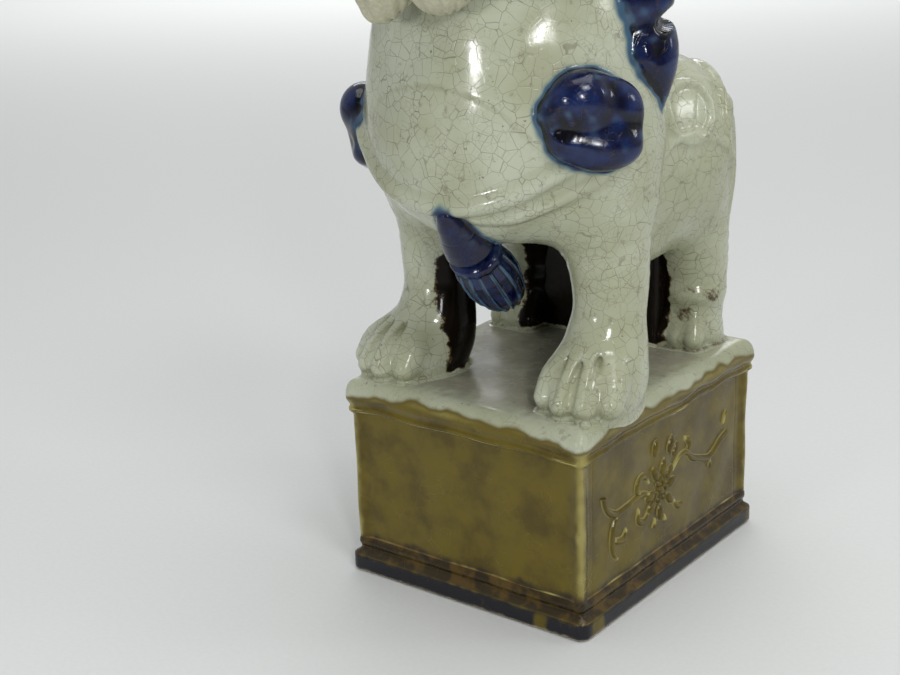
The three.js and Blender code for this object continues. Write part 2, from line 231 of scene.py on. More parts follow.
def waves(seed, wavelength, count=12):
    """A smooth uneven value from about -1 to 1 at every point, the same on each run."""
    random = np.random.RandomState(seed)
    directions = random.normal(size=(count, 3))
    directions /= np.linalg.norm(directions, axis=1, keepdims=True)
    stretch = random.uniform(0.45, 1.9, size=(count, 1))
    phases = random.uniform(0, 2 * math.pi, size=count)
    steps = (directions * stretch * 2 * math.pi / wavelength).T.astype(np.float32)

    def value(points):
        return np.sin(points @ steps + phases.astype(np.float32)).mean(axis=1) * 2.0

    return value


HAND_LUMPS = waves(3, 26.0)
EDGE_WOBBLE = waves(11, 7.0)
FINE_WOBBLE = waves(17, 3.0)


def field_slope(field, points, step):
    """The unit outward direction and the value of a field."""
    points = points.astype(np.float32)
    value = field(points)
    slope = np.empty_like(points)
    for axis in range(3):
        moved = points.copy()
        moved[:, axis] += step
        slope[:, axis] = (field(moved) - value) / step
    size = np.maximum(lengths(slope), 1e-3)
    return slope / size[:, None], value / size


def settle(base, spots, lifts):
    """Moves points to stand at the wanted heights above a base surface."""
    points = np.array(spots, np.float32)
    for _ in range(5):
        out, gap = field_slope(base, points, 0.5)
        points = points - out * (gap - np.asarray(lifts, np.float32))[:, None]
    return points


# ------------------------------------------------------------------ plinth
CORNER_RADIUS = 4.0
SLIP_TOP = 7.2
LEDGE_INSET = 2.2
LEDGE_TOP = 13.5
PANEL_INSET = 3.8
RIDGE_INSET = 2.6
RIDGE_WIDTH = 7.0
BEAD_INSET = 1.7
BEAD_Z = 68.5
WALL_THICKNESS = 7.0


def plinth_outline(p):
    """Distance from the plinth's rounded rectangle, and from its nearest corner along the face."""
    x = np.abs(p[:, 0])
    y = np.abs(p[:, 1])
    over_x = x - (HALF_WIDTH - CORNER_RADIUS)
    over_y = y - (HALF_DEPTH - CORNER_RADIUS)
    outside = np.hypot(np.maximum(over_x, 0), np.maximum(over_y, 0))
    inside = np.minimum(np.maximum(over_x, over_y), 0)
    corner = np.maximum(HALF_WIDTH - x, HALF_DEPTH - y)
    return outside + inside - CORNER_RADIUS, corner


def plinth_inset(z, corner):
    """How far the face stands back from the full outline at each height."""
    panel = RIDGE_INSET + (PANEL_INSET - RIDGE_INSET) * smoothstep(RIDGE_WIDTH - 3, RIDGE_WIDTH + 2, corner)
    bead = BEAD_Z - 1.2 * smoothstep(18, 3, corner)
    inset = 0.7 * smoothstep(1.2, 0.2, z)
    inset = inset + LEDGE_INSET * smoothstep(SLIP_TOP - 0.6, SLIP_TOP + 1.4, z)
    inset = inset + (panel - LEDGE_INSET) * smoothstep(LEDGE_TOP - 1.6, LEDGE_TOP + 1.0, z)
    inset = inset + (BEAD_INSET - panel) * smoothstep(bead - 2.2, bead - 0.2, z)
    inset = inset - BEAD_INSET * smoothstep(bead + 1.2, bead + 5.0, z)
    groove = 0.8 * np.exp(-((z - SLIP_TOP - 2.4) / 1.1) ** 2)
    groove = groove - 0.9 * np.exp(-((z - bead - 0.3) / 1.2) ** 2)
    return inset + groove


def ground(p):
    """Height above the top of the plinth, which is a little uneven."""
    return p[:, 2] - PLINTH_TOP + 0.2 + 0.35 * HAND_LUMPS(p * 0.8)


def plinth(p):
    outline, corner = plinth_outline(p)
    lumps = 0.45 * HAND_LUMPS(p) * smoothstep(2, 16, p[:, 2])
    flat = p * np.float32([1, 1, 0])
    height = p[:, 2] + 0.9 * HAND_LUMPS(flat) * smoothstep(20, 60, p[:, 2])
    wall = outline + plinth_inset(height, corner) + lumps
    solid = -blend(-wall, -ground(p), 7.0)
    solid = np.maximum(solid, -p[:, 2])
    hollow = np.maximum(outline + PANEL_INSET + WALL_THICKNESS, p[:, 2] - PLINTH_TOP + 12)
    return np.maximum(solid, -hollow)


def kept_between(low, high):
    """Distance of a plinth piece: it keeps one box of the plinth and sinks in beyond its edges."""
    low = np.array(low, float)
    high = np.array(high, float)

    def distance(p):
        past = np.maximum(low - p, p - high).max(axis=1)
        sunk = plinth(p) + 0.35 * np.maximum(past + 0.2, 0)
        return np.maximum(sunk, past - 1.6)

    return distance


# ------------------------------------------------------------------ flower relief on the side walls
RELIEF_RADIUS = 1.25
RELIEF_LIFT = 0.1


def on_wall(side, spots):
    """Points on a side wall of the plinth, from distances along it and heights."""
    rough = [(side * (HALF_WIDTH - PANEL_INSET), along, up) for along, up in spots]
    return settle(plinth, rough, RELIEF_LIFT)


def stroke(side, spots, widest=RELIEF_RADIUS):
    """A raised line on a side wall, thin at its ends."""
    count = len(spots)
    radii = [widest * (0.6 + 0.4 * math.sin(math.pi * i / (count - 1))) for i in range(count)]
    return rod(on_wall(side, spots), radii, 4)


def wall_drop(side, spot, half_long, half_wide, degrees=0.0):
    """A drop on a side wall, its long side turned from the plinth's depth."""
    angle = math.radians(degrees)
    along = (0, math.cos(angle), math.sin(angle))
    axes = np.array([along, np.cross((side, 0, 0), along), (side, 0, 0)], np.float32).T
    return ball(on_wall(side, [spot])[0], (half_long, half_wide, 1.5), axes)


FLOWER_AT = (-6.0, 38.0)
# Each petal: its direction in degrees, how far out it sits and half its length.
PETALS = [(78, 9.0, 3.4), (40, 8.4, 3.0), (3, 8.2, 3.4), (-40, 8.8, 3.2), (-92, 9.0, 3.2),
          (-148, 8.8, 3.2), (180, 8.0, 3.2), (116, 8.8, 3.4)]
# Each leaf: where it lies, half its length, half its width and its direction in degrees.
LEAVES = [((-9.3, 56), 3.6, 1.7, 78), ((0.8, 54.5), 3.6, 1.6, 66), ((4.8, 51), 3.2, 1.5, 50)]
# The beads round the middle of the flower.
BEAD_RING = 3.9
BEAD_RADIUS = 1.25
FLOWER_HOOKS = [
    [(-14.5, 44), (-18, 47.8), (-22, 47.2), (-23.4, 43.8), (-21, 41.8)],
    [(3, 31), (7, 26.8), (11, 27), (11.6, 31)],
    [(-15, 33), (-18.5, 29.8), (-22.4, 31.5), (-22, 35.4)],
    [(-10, 27), (-12.5, 22.5), (-16, 22.2)],
    [(-3, 26), (-1.5, 21.5), (2, 20)],
]
BACK_VINE = [
    [(3, 43), (8, 46.8), (13.5, 46.8), (17.5, 43.2), (24, 40.5), (32.1, 38.5), (40, 42.5), (48, 45.6),
     (51.6, 49.6), (49, 53.6), (44.5, 52.6), (43, 49.5)],
    [(32.1, 38.5), (33, 32), (29, 26), (24.5, 25.2), (22.4, 30)],
    [(13.5, 46.8), (15.5, 50.5), (12, 53)],
]
FRONT_VINE = [
    [(-14, 39), (-18, 40.6), (-24, 41.0), (-31.9, 40.2), (-38, 40), (-44, 44), (-46, 50), (-42, 54),
     (-37.5, 52.5)],
    [(-37, 40), (-40, 34), (-40.5, 27.1), (-37, 22)],
    [(-39.5, 30), (-34, 28.2), (-31, 31)],
]


def around_flower(degrees, reach):
    angle = math.radians(degrees)
    return (FLOWER_AT[0] + reach * math.cos(angle), FLOWER_AT[1] + reach * math.sin(angle))


def flower(side):
    drops = [wall_drop(side, FLOWER_AT, 1.9, 1.9)]
    for degrees in range(0, 360, 60):
        drops.append(wall_drop(side, around_flower(degrees, BEAD_RING), BEAD_RADIUS, BEAD_RADIUS))
    for degrees, reach, size in PETALS:
        drops.append(wall_drop(side, around_flower(degrees, reach), size, size * 0.55, degrees))
    for spot, half_long, half_wide, degrees in LEAVES:
        drops.append(wall_drop(side, spot, half_long, half_wide, degrees))
    return joined(drops + [stroke(side, hook) for hook in FLOWER_HOOKS], 0.4)


def vine(side, strokes):
    return joined([stroke(side, spots, RELIEF_RADIUS * 1.05) for spots in strokes], 0.6)


# ------------------------------------------------------------------ body and legs
def sided(point, side):
    return (point[0] * side, point[1], point[2])


TORSO_MASSES = joined([
    ball((0, -24, 175), (54, 49, 40)),
    ball((0, -50, 162), (30, 21, 20)),
    ball((0, 8, 163), (40, 51, 36)),
    *[ball((32 * side, 14, 148), (12, 26, 28)) for side in SIDES.values()],
    ball((0, 32, 160), (41, 30, 35)),
    ball((0, -29, 198), (51.5, 43, 60)),
], 13.0)
UNDER_ARCH = ball((0, -18, 110), (25, 95, 30))


def oval_mark(side):
    """The raised oval rim behind the shoulder."""
    spots = []
    for step in range(13):
        angle = 2 * math.pi * step / 12
        spots.append((side * 46, 16.5 + 11 * math.cos(angle), 178 + 11.5 * math.sin(angle)))
    return rod(settle(plain_body, spots, 0.1), [1.5] * len(spots), 2)


def arc_marks(side):
    """Raised lines that follow the back of the haunch and the top of the thigh."""
    routes = [
        [(-1, 164), (6, 168.5), (18, 168.5), (33, 162.5), (42, 153), (46, 139)],
        [(30, 186), (40, 174), (48, 160), (51, 144), (50, 130)],
        [(24, 192), (36, 184), (46, 170), (53, 153), (55, 136)],
    ]
    marks = []
    for route in routes:
        spots = [(side * 46, along, up) for along, up in route]
        lifts = [-0.8] + [0.0] * (len(route) - 2) + [-0.8]
        marks.append(rod(settle(plain_body, spots, lifts), [0.5] + [1.5] * (len(route) - 2) + [0.5], 4))
    return joined(marks, 1.0)


def torso_masses(p):
    return carve(TORSO_MASSES(p) + 0.5 * HAND_LUMPS(p), UNDER_ARCH(p), 8.0)


# Each forefoot: where the leg stands, where the paw's middle is, and how far its toes turn out.
LEFT_FOREFOOT = ((39.5, -23), (39.5, -33), 0.17)
RIGHT_FOREFOOT = ((-36, -26), (-40, -36.5), -0.26)
# Each toe: how far it stands aside of the paw's middle, and how far it reaches forward.
TOES = [(-12.0, 14.5), (-4.2, 19.0), (4.2, 19.0), (12.0, 14.5)]
TOE_GAPS = [-7.8, 0.0, 7.8]


def foreleg(leg, paw, turn):
    """A straight foreleg whose paw has four long toes."""
    side = math.copysign(1, leg[0])
    x, y = leg
    column = rod([(x - 2 * side, y - 1, 150), (x, y, 126), (x, y, 108), (x, y - 2, 92)],
                 [18, 14.3, 13.4, 14.6], 4)
    instep = rod([(x, y - 4, 98), (paw[0], paw[1] - 4, 88)], [12.5, 13.0], 0)
    sole = ball((paw[0], paw[1], 84), (16.5, 17.5, 11.5))
    leg_mass = joined([ball((35 * side, -27, 171), (23.5, 25, 33)), column, instep, sole], 9.0)

    def on_paw(aside, reach, height):
        return (paw[0] + aside * math.cos(turn) + reach * math.sin(turn),
                paw[1] + aside * math.sin(turn) - reach * math.cos(turn), height)

    toes = []
    for aside, reach in TOES:
        ends = [on_paw(aside * 0.62, reach * 0.1, 96.5), on_paw(aside * 0.9, reach * 0.68, 91),
                on_paw(aside, reach, 85)]
        toes.append(rod(ends, [5.0, 5.6, 5.0], 3))
    gaps = []
    for aside in TOE_GAPS:
        ends = [on_paw(aside * 0.7, 8, 99.5), on_paw(aside * 0.9, 17, 95), on_paw(aside, 23.5, 86)]
        gaps.append(rod(ends, [0.5, 1.1, 1.2], 3))
    return grooved(joined([leg_mass, joined(toes, 1.5)], 3.5), gaps, 2.2)


def hind_leg(foot):
    x, y = foot
    side = math.copysign(1, x)
    column = rod([(x * 0.94, y - 8, 140), (x, y - 2, 118), (x, y, 103), (x, y - 1, 90), (x, y - 1, 84)],
                 [18, 14.0, 12.0, 11.8, 12.6], 4)
    heel = ball((x + side * 1.5, y - 3.5, 101), (11.8, 11, 7))
    mass = joined([ball((side * 28, 29, 161), (27, 32, 36)), column], 9.0)
    toes = []
    for spread in (-7, 0, 7):
        toes.append(rod([(x + spread * 0.7, y - 9, 91), (x + spread, y - 13.5, 84)], [4.2, 4.2], 0))
    return joined([joined([mass, heel], 4.0), joined(toes, 2.5)], 4.0)


LEFT_HIND_FOOT = (33.5, 50.5)
RIGHT_HIND_FOOT = (-37, 38)
LIMBS = {
    "left_foreleg": foreleg(*LEFT_FOREFOOT),
    "right_foreleg": foreleg(*RIGHT_FOREFOOT),
    "left_hind_leg": hind_leg(LEFT_HIND_FOOT),
    "right_hind_leg": hind_leg(RIGHT_HIND_FOOT),
}
LIMB_BLEND = 9.0


def plain_body(p):
    """The body and legs, before any ornament is laid on them."""
    whole = torso_masses(p)
    for limb in LIMBS.values():
        whole = blend(whole, limb(p) + 0.4 * HAND_LUMPS(p), LIMB_BLEND)
    return whole


HAUNCH_MARKS = joined([mark(side) for mark in (oval_mark, arc_marks) for side in SIDES.values()], 1.0)


def torso(p):
    return blend(torso_masses(p), HAUNCH_MARKS(p), 1.8)


def body(p):
    return blend(plain_body(p), HAUNCH_MARKS(p), 1.8)


def rear_web(p):
    """The rough wall between the hind legs."""
    q = np.abs(p - np.array([-1, 38, 106], np.float32)) - np.array([26, 4.5, 28], np.float32)
    return lengths(np.maximum(q, 0)) + np.minimum(q.max(axis=1), 0) - 1.5 + 0.6 * HAND_LUMPS(p)


# ------------------------------------------------------------------ strap and tassel
STRAP_ROUTE = [(-55, -33, 188), (-49, -48, 176), (-40, -58, 167), (-24, -67, 159.5), (-8, -71, 156),
               (8, -71, 155.5), (24, -67, 159), (38, -58, 167), (47, -47, 175)]
SIDE_FOLDS = [
    [(-57, -30, 178), (-52, -43, 169), (-43, -53, 160), (-32, -60, 154)],
    [(14, -69, 151), (28, -62, 153), (40, -52, 160), (48, -42, 168)],
]


def chest_strap():
    """A soft strap slung across the chest, with a fold beside it on each side."""
    strap = rod(settle(body, STRAP_ROUTE, 0.2), [1.2, 2.4, 2.8, 2.8, 2.6, 2.6, 2.8, 2.4, 1.2], 4)
    folds = [rod(settle(body, route, -0.2), [0.8, 1.9, 1.9, 0.8], 4) for route in SIDE_FOLDS]
    return joined([strap] + folds, 1.5)


TASSEL_TOP = np.array([4.4, -72.6, 153.5])
TASSEL_TIP = np.array([4.7, -35.6, 112.3])
TASSEL_AXES = axes_from(TASSEL_TOP - TASSEL_TIP, (0, 1, 0))
TASSEL_LENGTH = float(np.linalg.norm(TASSEL_TOP - TASSEL_TIP))
FLUTES = 13


def tassel_part(start, end, profile, fluted):
    """A turned stretch of the tassel between two shares of its length, with flutes if asked."""
    shares, radii = zip(*profile)
    centre = TASSEL_TOP + (TASSEL_TIP - TASSEL_TOP) * (start + end) / 2

    def distance(p):
        local = (p - TASSEL_TOP.astype(np.float32)) @ TASSEL_AXES
        share = -local[:, 2] / TASSEL_LENGTH
        radius = np.interp(share, shares, radii)
        angle = np.arctan2(local[:, 1], local[:, 0])
        if fluted:
            ridge = np.maximum(np.cos(angle * FLUTES + 2.5 * share), 0) ** 2
            radius = radius + (1.1 * ridge - 0.5) * smoothstep(start + 0.02, start + 0.12, share)
        side = (np.hypot(local[:, 0], local[:, 1] * 1.1) - radius) * 0.85
        ends = np.maximum(start - share, share - end) * TASSEL_LENGTH
        return -blend(-side, -ends, 2.0)

    return Shape(distance, centre, TASSEL_LENGTH * (end - start) / 2 + 14)


# Each profile: the share of the tassel's length, and the radius there.
KNOT_PROFILE = [(-0.05, 1.6), (0.02, 3.8), (0.1, 5.8), (0.18, 7.1), (0.24, 7.8)]
CAP_PROFILE = [(0.18, 7.1), (0.28, 8.8), (0.36, 9.6), (0.40, 8.0), (0.44, 7.6)]
SKIRT_PROFILE = [(0.40, 8.0), (0.44, 10.2), (0.47, 10.4), (0.50, 9.6), (0.60, 10.9), (0.72, 11.0),
                 (0.84, 9.6), (0.94, 6.6), (1.02, 3.0)]
TASSEL = {
    "tassel_knot": tassel_part(-0.03, 0.22, KNOT_PROFILE, False),
    "tassel_cap": tassel_part(0.17, 0.42, CAP_PROFILE, False),
    "tassel_skirt": tassel_part(0.41, 1.0, SKIRT_PROFILE, True),
}


# ------------------------------------------------------------------ curls
def lay(base, at, axes, spots):
    """Stands (across, along, height) spots on a base surface, around a point near it."""
    spots = np.array(spots, float)
    return settle(base, np.array(at) + spots[:, :2] @ axes[:, :2].T, spots[:, 2])


class CurlBuilder:
    """Lays the lumps, rolls and grooves of one curl on the body, mirrored for the right side."""

    def __init__(self, base, at, out, size, side):
        self.base = base
        self.at = at
        self.axes = axes_from(out)
        self.scale = np.array([side * size, size, size])
        self.size = size

    def lump(self, spot, radii):
        place = lay(self.base, self.at, self.axes, [spot * self.scale])[0]
        return ball(place, np.array(radii) * self.size, self.axes)

    def roll(self, spots, radii):
        places = lay(self.base, self.at, self.axes, np.array(spots) * self.scale)
        return rod(places, np.array(radii) * self.size, 4)


def shoulder_curl(base, at, out, size, side):
    """A round lump above a lip, with a furrow between them and a crease beside the lump."""
    curl = CurlBuilder(base, at, out, size, side)
    lumps = [
        curl.lump((0.5, -1.0, -0.5), (17.5, 17.0, 7.5)),
        curl.lump((-4.6, 7.0, 3.0), (12.5, 11.0, 9.5)),
        curl.lump((10.5, 2.5, 2.0), (8.0, 9.5, 7.0)),
        curl.lump((4.5, -11.5, 2.5), (13.5, 8.0, 7.5)),
        curl.lump((-10.0, -6.5, 0.5), (7.5, 8.0, 6.0)),
        curl.lump((-16.5, 3.0, -1.0), (4.0, 4.5, 4.5)),
    ]
    groove = curl.roll([(-13.0, -3.0, 8.6), (-4.0, -4.6, 13.0), (6.0, -3.2, 13.6), (14.0, -3.6, 11.6)],
                       [1.5, 3.5, 3.1, 1.5])
    parting = curl.roll([(5.0, -2.0, 13.6), (4.4, 6.0, 13.4), (2.5, 13.0, 10.0)], [2.6, 2.2, 1.0])
    return grooved(joined(lumps, 6.0), [groove, parting], 4.2)


def neck_curl(base, at, out, size, side):
    """A round head above a second lobe, running down to a pointed tail."""
    curl = CurlBuilder(base, at, out, size, side)
    lumps = [
        curl.lump((0.0, 3.0, -0.5), (12.5, 18.0, 7.0)),
        curl.lump((-2.0, 12.0, 2.5), (13.0, 11.5, 9.0)),
        curl.lump((8.0, -0.5, 2.5), (8.0, 10.5, 7.5)),
        curl.lump((1.5, -7.5, 1.5), (9.5, 9.0, 7.0)),
        curl.roll([(1.5, -9.0, 2.5), (4.0, -15.0, 2.0), (6.0, -20.0, 1.2), (7.0, -24.5, 0.2)],
                  [7.0, 5.4, 3.4, 1.2]),
    ]
    upper = curl.roll([(14.5, 7.0, 7.5), (6.0, 3.6, 9.4), (-2.0, 1.0, 9.0)], [1.6, 2.8, 1.4])
    lower = curl.roll([(-7.0, -2.0, 10.4), (-5.0, -11.0, 9.0)], [3.0, 1.6])
    return grooved(joined(lumps, 6.0), [upper, lower], 4.0)


def snail_curl(base, at, out, radii, side, turns=1.55, start=0.6):
    """A mane curl that winds in on itself and rises to a button in the middle."""
    curl = CurlBuilder(base, at, out, 1.0, side)
    wide, tall, high = radii
    count = 22
    spots = []
    widths = []
    for i in range(count):
        share = i / (count - 1)
        angle = start + share * turns * 2 * math.pi
        away = 0.84 - 0.78 * share
        spots.append((wide * away * math.cos(angle), tall * away * math.sin(angle),
                      high * (0.25 + 0.4 * share)))
        widths.append(min(wide, tall) * (0.17 + 0.11 * math.sin(math.pi * min(share * 1.2, 1))))
    middle = curl.lump((0, 0, high * 0.1), (wide * 0.84, tall * 0.84, high * 0.55))
    whorl = rod(lay(base, at, curl.axes, np.array(spots) * curl.scale), widths, 0)
    return joined([middle, whorl], 1.0)


CURL_FACINGS = {
    "cheek_curl": (1, -0.5, -0.1),
    "temple_curl": (1, 0.2, 0.1),
    "jaw_curl": (1, 0.1, 0),
    "nape_curl": (0.6, 1, 0.1),
    "scruff_curl": (0.5, 1, 0.3),
    "crown_curl": (0.4, 0.3, 1),
}
SINGLE_FACINGS = {
    "forelock": (0, -0.5, 1),
    "back_head_curl": (0, 1, 0.3),
}
SNAIL_RADII = {
    "forelock": (11, 13, 9),
    "back_head_curl": (15, 15, 10),
    "cheek_curl": (13, 13, 9),
    "temple_curl": (14, 14, 10),
    "jaw_curl": (15, 14, 10),
    "nape_curl": (15, 16, 10),
    "scruff_curl": (15, 15, 10),
    "crown_curl": (14, 14, 9),
}


# ------------------------------------------------------------------ tail
def tail_plume():
    """The tail, combed lengthwise and held up against the back."""
    spine = [(0, 56, 146), (0, 64, 164), (0, 62, 180), (0, 53, 193), (0, 41, 199)]
    core = rod(spine, [5, 9, 9.5, 7.5, 4], 4)

    def distance(p):
        comb = np.cos(p[:, 0] * 2 * math.pi / 5.2)
        return core(p) + 0.55 * comb

    return Shape(distance, core.centre, core.radius)


TAIL = tail_plume()
STRAND_ROUTE = [(9, 60, 178), (26, 53, 190), (41, 44, 187), (52, 38, 172), (56, 39, 154)]
# How much each strand is lowered and moved back from the route.
STRAND_OFFSETS = [(-5.0, -2.5), (0.0, 0.0), (4.5, 3.0)]
STRAND_LIFTS = [-0.8, 0.3, 0.2, -0.5, -1.2]


def tail_strand(side):
    """Three side strands of the tail, which sweep forward over the haunch."""
    locks = []
    for lower, back in STRAND_OFFSETS:
        spots = [(side * x, y + back, z + lower * (1 - 0.5 * i / 4))
                 for i, (x, y, z) in enumerate(STRAND_ROUTE)]
        locks.append(rod(settle(body, spots, STRAND_LIFTS), [1.6, 2.8, 2.6, 1.8, 0.5], 4))
    return joined(locks, 1.2)


# ------------------------------------------------------------------ head
HEAD_MASSES = joined([
    ball((0, -30, 271), (43, 43, 43)),
    ball((0, -34, 249), (46, 42, 34)),
    ball((0, -72, 264), (27, 21, 12)),
    ball((0, -78, 258), (23, 15, 7)),
    *[ball((33 * side, -50, 259), (14, 19, 15)) for side in SIDES.values()],
    ball((0, -66, 284), (11, 14, 16)),
], 9.0)
EYE_AT = (19, -66, 286)
EYE_RADIUS = 10.0
EYE_TURN = 0.28
MOUTH = joined([ball((0, -78, 246.5), (22, 24, 5.5)), ball((0, -60, 246), (26, 18, 5))], 3.0)
SOCKETS = [ball(sided(EYE_AT, side), (12.5, 12.5, 12.5)) for side in SIDES.values()]


def lips():
    upper = [(-31, -58, 249), (-26, -74, 251), (-15, -86, 253), (0, -90, 254.5), (15, -86, 253),
             (26, -74, 251), (31, -58, 249)]
    return rod(upper, [2.5, 3.2, 3.6, 3.2, 3.6, 3.2, 2.5], 3)


def eyelids(side):
    centre = np.array(sided(EYE_AT, side), float)
    gaze = np.array([EYE_TURN * side, -1, 0.05])
    axes = axes_from(gaze)
    rims = []
    for lift, rise in ((1, 4.4), (-1, -3.4)):
        spots = []
        for degrees in range(-80, 81, 20):
            angle = math.radians(degrees)
            spots.append((11.6 * math.sin(angle), rise * math.cos(angle) ** 0.5 * 1.3 + lift * 0.5,
                          7.2 * math.cos(angle) + 0.5))
        rims.append(rod(centre + np.array(spots) @ axes.T, [1.8] + [2.6] * 7 + [1.8], 0))
    return rims


HEAD_TRIM = joined([lips(), *eyelids(1), *eyelids(-1)], 1.2)


def head(p):
    whole = carve(HEAD_MASSES(p) + 0.4 * HAND_LUMPS(p), MOUTH(p), 3.0)
    for socket in SOCKETS:
        whole = carve(whole, socket(p), 2.0)
    return blend(whole, HEAD_TRIM(p), 2.0)


def neck_and_head(p):
    return blend(torso(p), head(p), 10.0)


def nose():
    bridge = ball((0, -87, 275.5), (8.5, 8.5, 8))
    wings = [ball((side * 9.5, -87, 271.5), (7, 7, 5.6)) for side in (-1, 1)]
    holes = [ball((side * 6.6, -94, 269.5), (2.6, 3.5, 2.2)) for side in (-1, 1)]
    return grooved(joined([bridge] + wings, 3.0), holes, 1.2)


def lower_jaw():
    bowl = ball((0, -67, 235), (27, 25, 8.5))
    lip = rod([(-25, -62, 240), (-18, -80, 240.5), (0, -88.5, 241.5), (18, -80, 240.5), (25, -62, 240)],
              [2.6, 3.1, 3.3, 3.1, 2.6], 4)
    scoop = ball((0, -66, 243.5), (20, 19, 4.5))
    return grooved(joined([bowl, lip], 2.5), [scoop], 2.0)


def tongue():
    slab = ball((0, -75, 242.5), (11, 15, 3.4))
    line = rod([(0, -62, 246.5), (0, -88, 245.5)], [1.0, 0.8], 0)
    return grooved(slab, [line], 1.2)


TOOTH_STEP = 0.32


def teeth(wide, deep, y, z, last, down):
    """A row of separate teeth on a curved gum, the outermost two being fangs."""
    def spot(angle, lift):
        return (wide * math.sin(angle), y - deep * math.cos(angle), z + lift)

    end = last * TOOTH_STEP + 0.2
    gum = rod([spot(end * share, 0) for share in (-1, -0.5, 0, 0.5, 1)], [1.7, 1.9, 1.8, 1.9, 1.7], 4)
    parts = []
    for i in range(-last, last + 1):
        fang = abs(i) == last
        size = (2.2, 2.2, 4.4) if fang else (2.5, 1.8, 2.7)
        parts.append(ball(spot(i * TOOTH_STEP, down * (2.2 if fang else 1.2)), size))
    return joined([gum] + parts, 0.7)


def brow(side):
    route = [(7, -72, 296), (13, -73, 302), (22, -68, 305), (33, -57, 303), (40, -47, 296), (43, -43, 289)]
    ridge = rod([sided(point, side) for point in route], [4.5, 6.2, 7, 6.6, 5.4, 2.6], 4)
    cuts = []
    for share in range(4):
        x = 12 + share * 7.5
        ends = [(x - 2, -82 + share * 4, 297), (x + 3, -70 + share * 5, 312)]
        cuts.append(rod([sided(end, side) for end in ends], [0.9, 0.9], 0))
    return grooved(ridge, cuts, 1.4)


def ear(side):
    route = [(33, -24, 292), (43, -25, 299), (50, -29, 298), (54, -34, 289)]
    leaf = rod([sided(point, side) for point in route], [9, 9.5, 7.2, 2.2], 4)
    hollow = rod([sided((42, -36, 295), side), sided((51, -38, 290), side)], [5.4, 2.4], 0)
    return grooved(leaf, [hollow], 2.0)


BEARD_TIPS = {1: 224.0, -1: 218.5}


def beard_tuft(side):
    """A combed lock under the chin."""
    tip = BEARD_TIPS[side]
    axis_x = 11.5 * side
    core = rod([(axis_x * 0.8, -74, 241), (axis_x, -79, 234), (axis_x * 1.1, -81, tip + 6)], [9, 12.0, 7], 4)

    def distance(p):
        angle = np.arctan2(p[:, 0] - axis_x, -(p[:, 1] + 74))
        return core(p) + 0.45 * np.cos(angle * 14 + p[:, 2] * 0.12)

    return Shape(distance, core.centre, core.radius)


def whole_lion(p):
    return blend(body(p), head(p), 10.0)


def make_curls():
    curls = {
        "left_shoulder_curl": shoulder_curl(whole_lion, (48, -48, 186), (0.72, -0.68, 0.15), 0.87, 1),
        "right_shoulder_curl": shoulder_curl(whole_lion, (-52, -34, 173), (-1, -0.45, 0.05), 0.84, -1),
        "left_neck_curl": neck_curl(whole_lion, (47, -20, 210), (0.85, -0.48, 0.22), 1.0, 1),
        "right_neck_curl": neck_curl(whole_lion, (-47, -20, 210), (-0.85, -0.48, 0.22), 1.0, -1),
    }
    for name, out in CURL_FACINGS.items():
        for word, side in SIDES.items():
            low, high = node_box(f"{word}_{name}")
            curls[f"{word}_{name}"] = snail_curl(whole_lion, (low + high) / 2, sided(out, side),
                                                 SNAIL_RADII[name], side)
    for name, out in SINGLE_FACINGS.items():
        low, high = node_box(name)
        curls[name] = snail_curl(whole_lion, (low + high) / 2, out, SNAIL_RADII[name], 1)
    return curls


CURLS = make_curls()


# ------------------------------------------------------------------ meshes from fields
BLOCK = 8
EDGE_SINK = 0.06
FACE_DEPTH = 2.5
HALF_DIAGONAL = 1.75
SLOPE_ALLOWANCE = 1.25


def overlay(base, shape, width):
    """A piece fused onto a base surface: it meets the base at a grazing angle and ends inside it."""
    def distance(p):
        under = base(p)
        over = shape(p)
        fused = blend(under + EDGE_SINK, over, width)
        return np.maximum(np.maximum(fused, -under - FACE_DEPTH), over - width)

    return distance


def surface(field, low, high, voxel):
    """Quads on the zero level of a field, worked out only in the blocks that it crosses."""
    blocks = np.ceil((np.array(high) - low) / (voxel * BLOCK)).astype(int)
    band = 3 * voxel
    index = np.stack(np.meshgrid(*[np.arange(n) for n in blocks], indexing="ij"), -1).reshape(-1, 3)
    half = voxel * (BLOCK - 1) / 2
    corners = (low + index * (voxel * BLOCK)).astype(np.float32)
    middle = field(corners + np.float32(half))
    crossed = np.abs(middle) < half * HALF_DIAGONAL * SLOPE_ALLOWANCE + band
    values = np.where(middle < 0, -band, band).astype(np.float32)
    cells = np.broadcast_to(values[:, None], (len(index), BLOCK ** 3)).copy()
    inside = np.stack(np.meshgrid(*[np.arange(BLOCK)] * 3, indexing="ij"), -1).reshape(-1, 3)
    inside = (inside * voxel).astype(np.float32)
    wanted = np.flatnonzero(crossed)
    for some in np.array_split(wanted, max(1, len(wanted) // 400)):
        points = (corners[some][:, None, :] + inside[None]).reshape(-1, 3)
        cells[some] = np.clip(field(points), -band, band).reshape(len(some), -1)
    shape = tuple(blocks)
    grid_values = cells.reshape(*shape, BLOCK, BLOCK, BLOCK).transpose(0, 3, 1, 4, 2, 5)
    grid_values = np.ascontiguousarray(grid_values.reshape([n * BLOCK for n in shape]))
    grid = openvdb.FloatGrid(background=band)
    grid.copyFromArray(grid_values)
    points, quads = grid.convertToQuads(0.0)
    return points * voxel + low, quads


# ------------------------------------------------------------------ glaze masks
COBALT_SHAPES = list(CURLS.values()) + list(TASSEL.values()) + [brow(1), brow(-1), TAIL]


def nearest(shapes, points):
    best = np.full(len(points), NEAR, np.float32)
    for shape in shapes:
        np.minimum(best, shape(points), out=best)
    return best


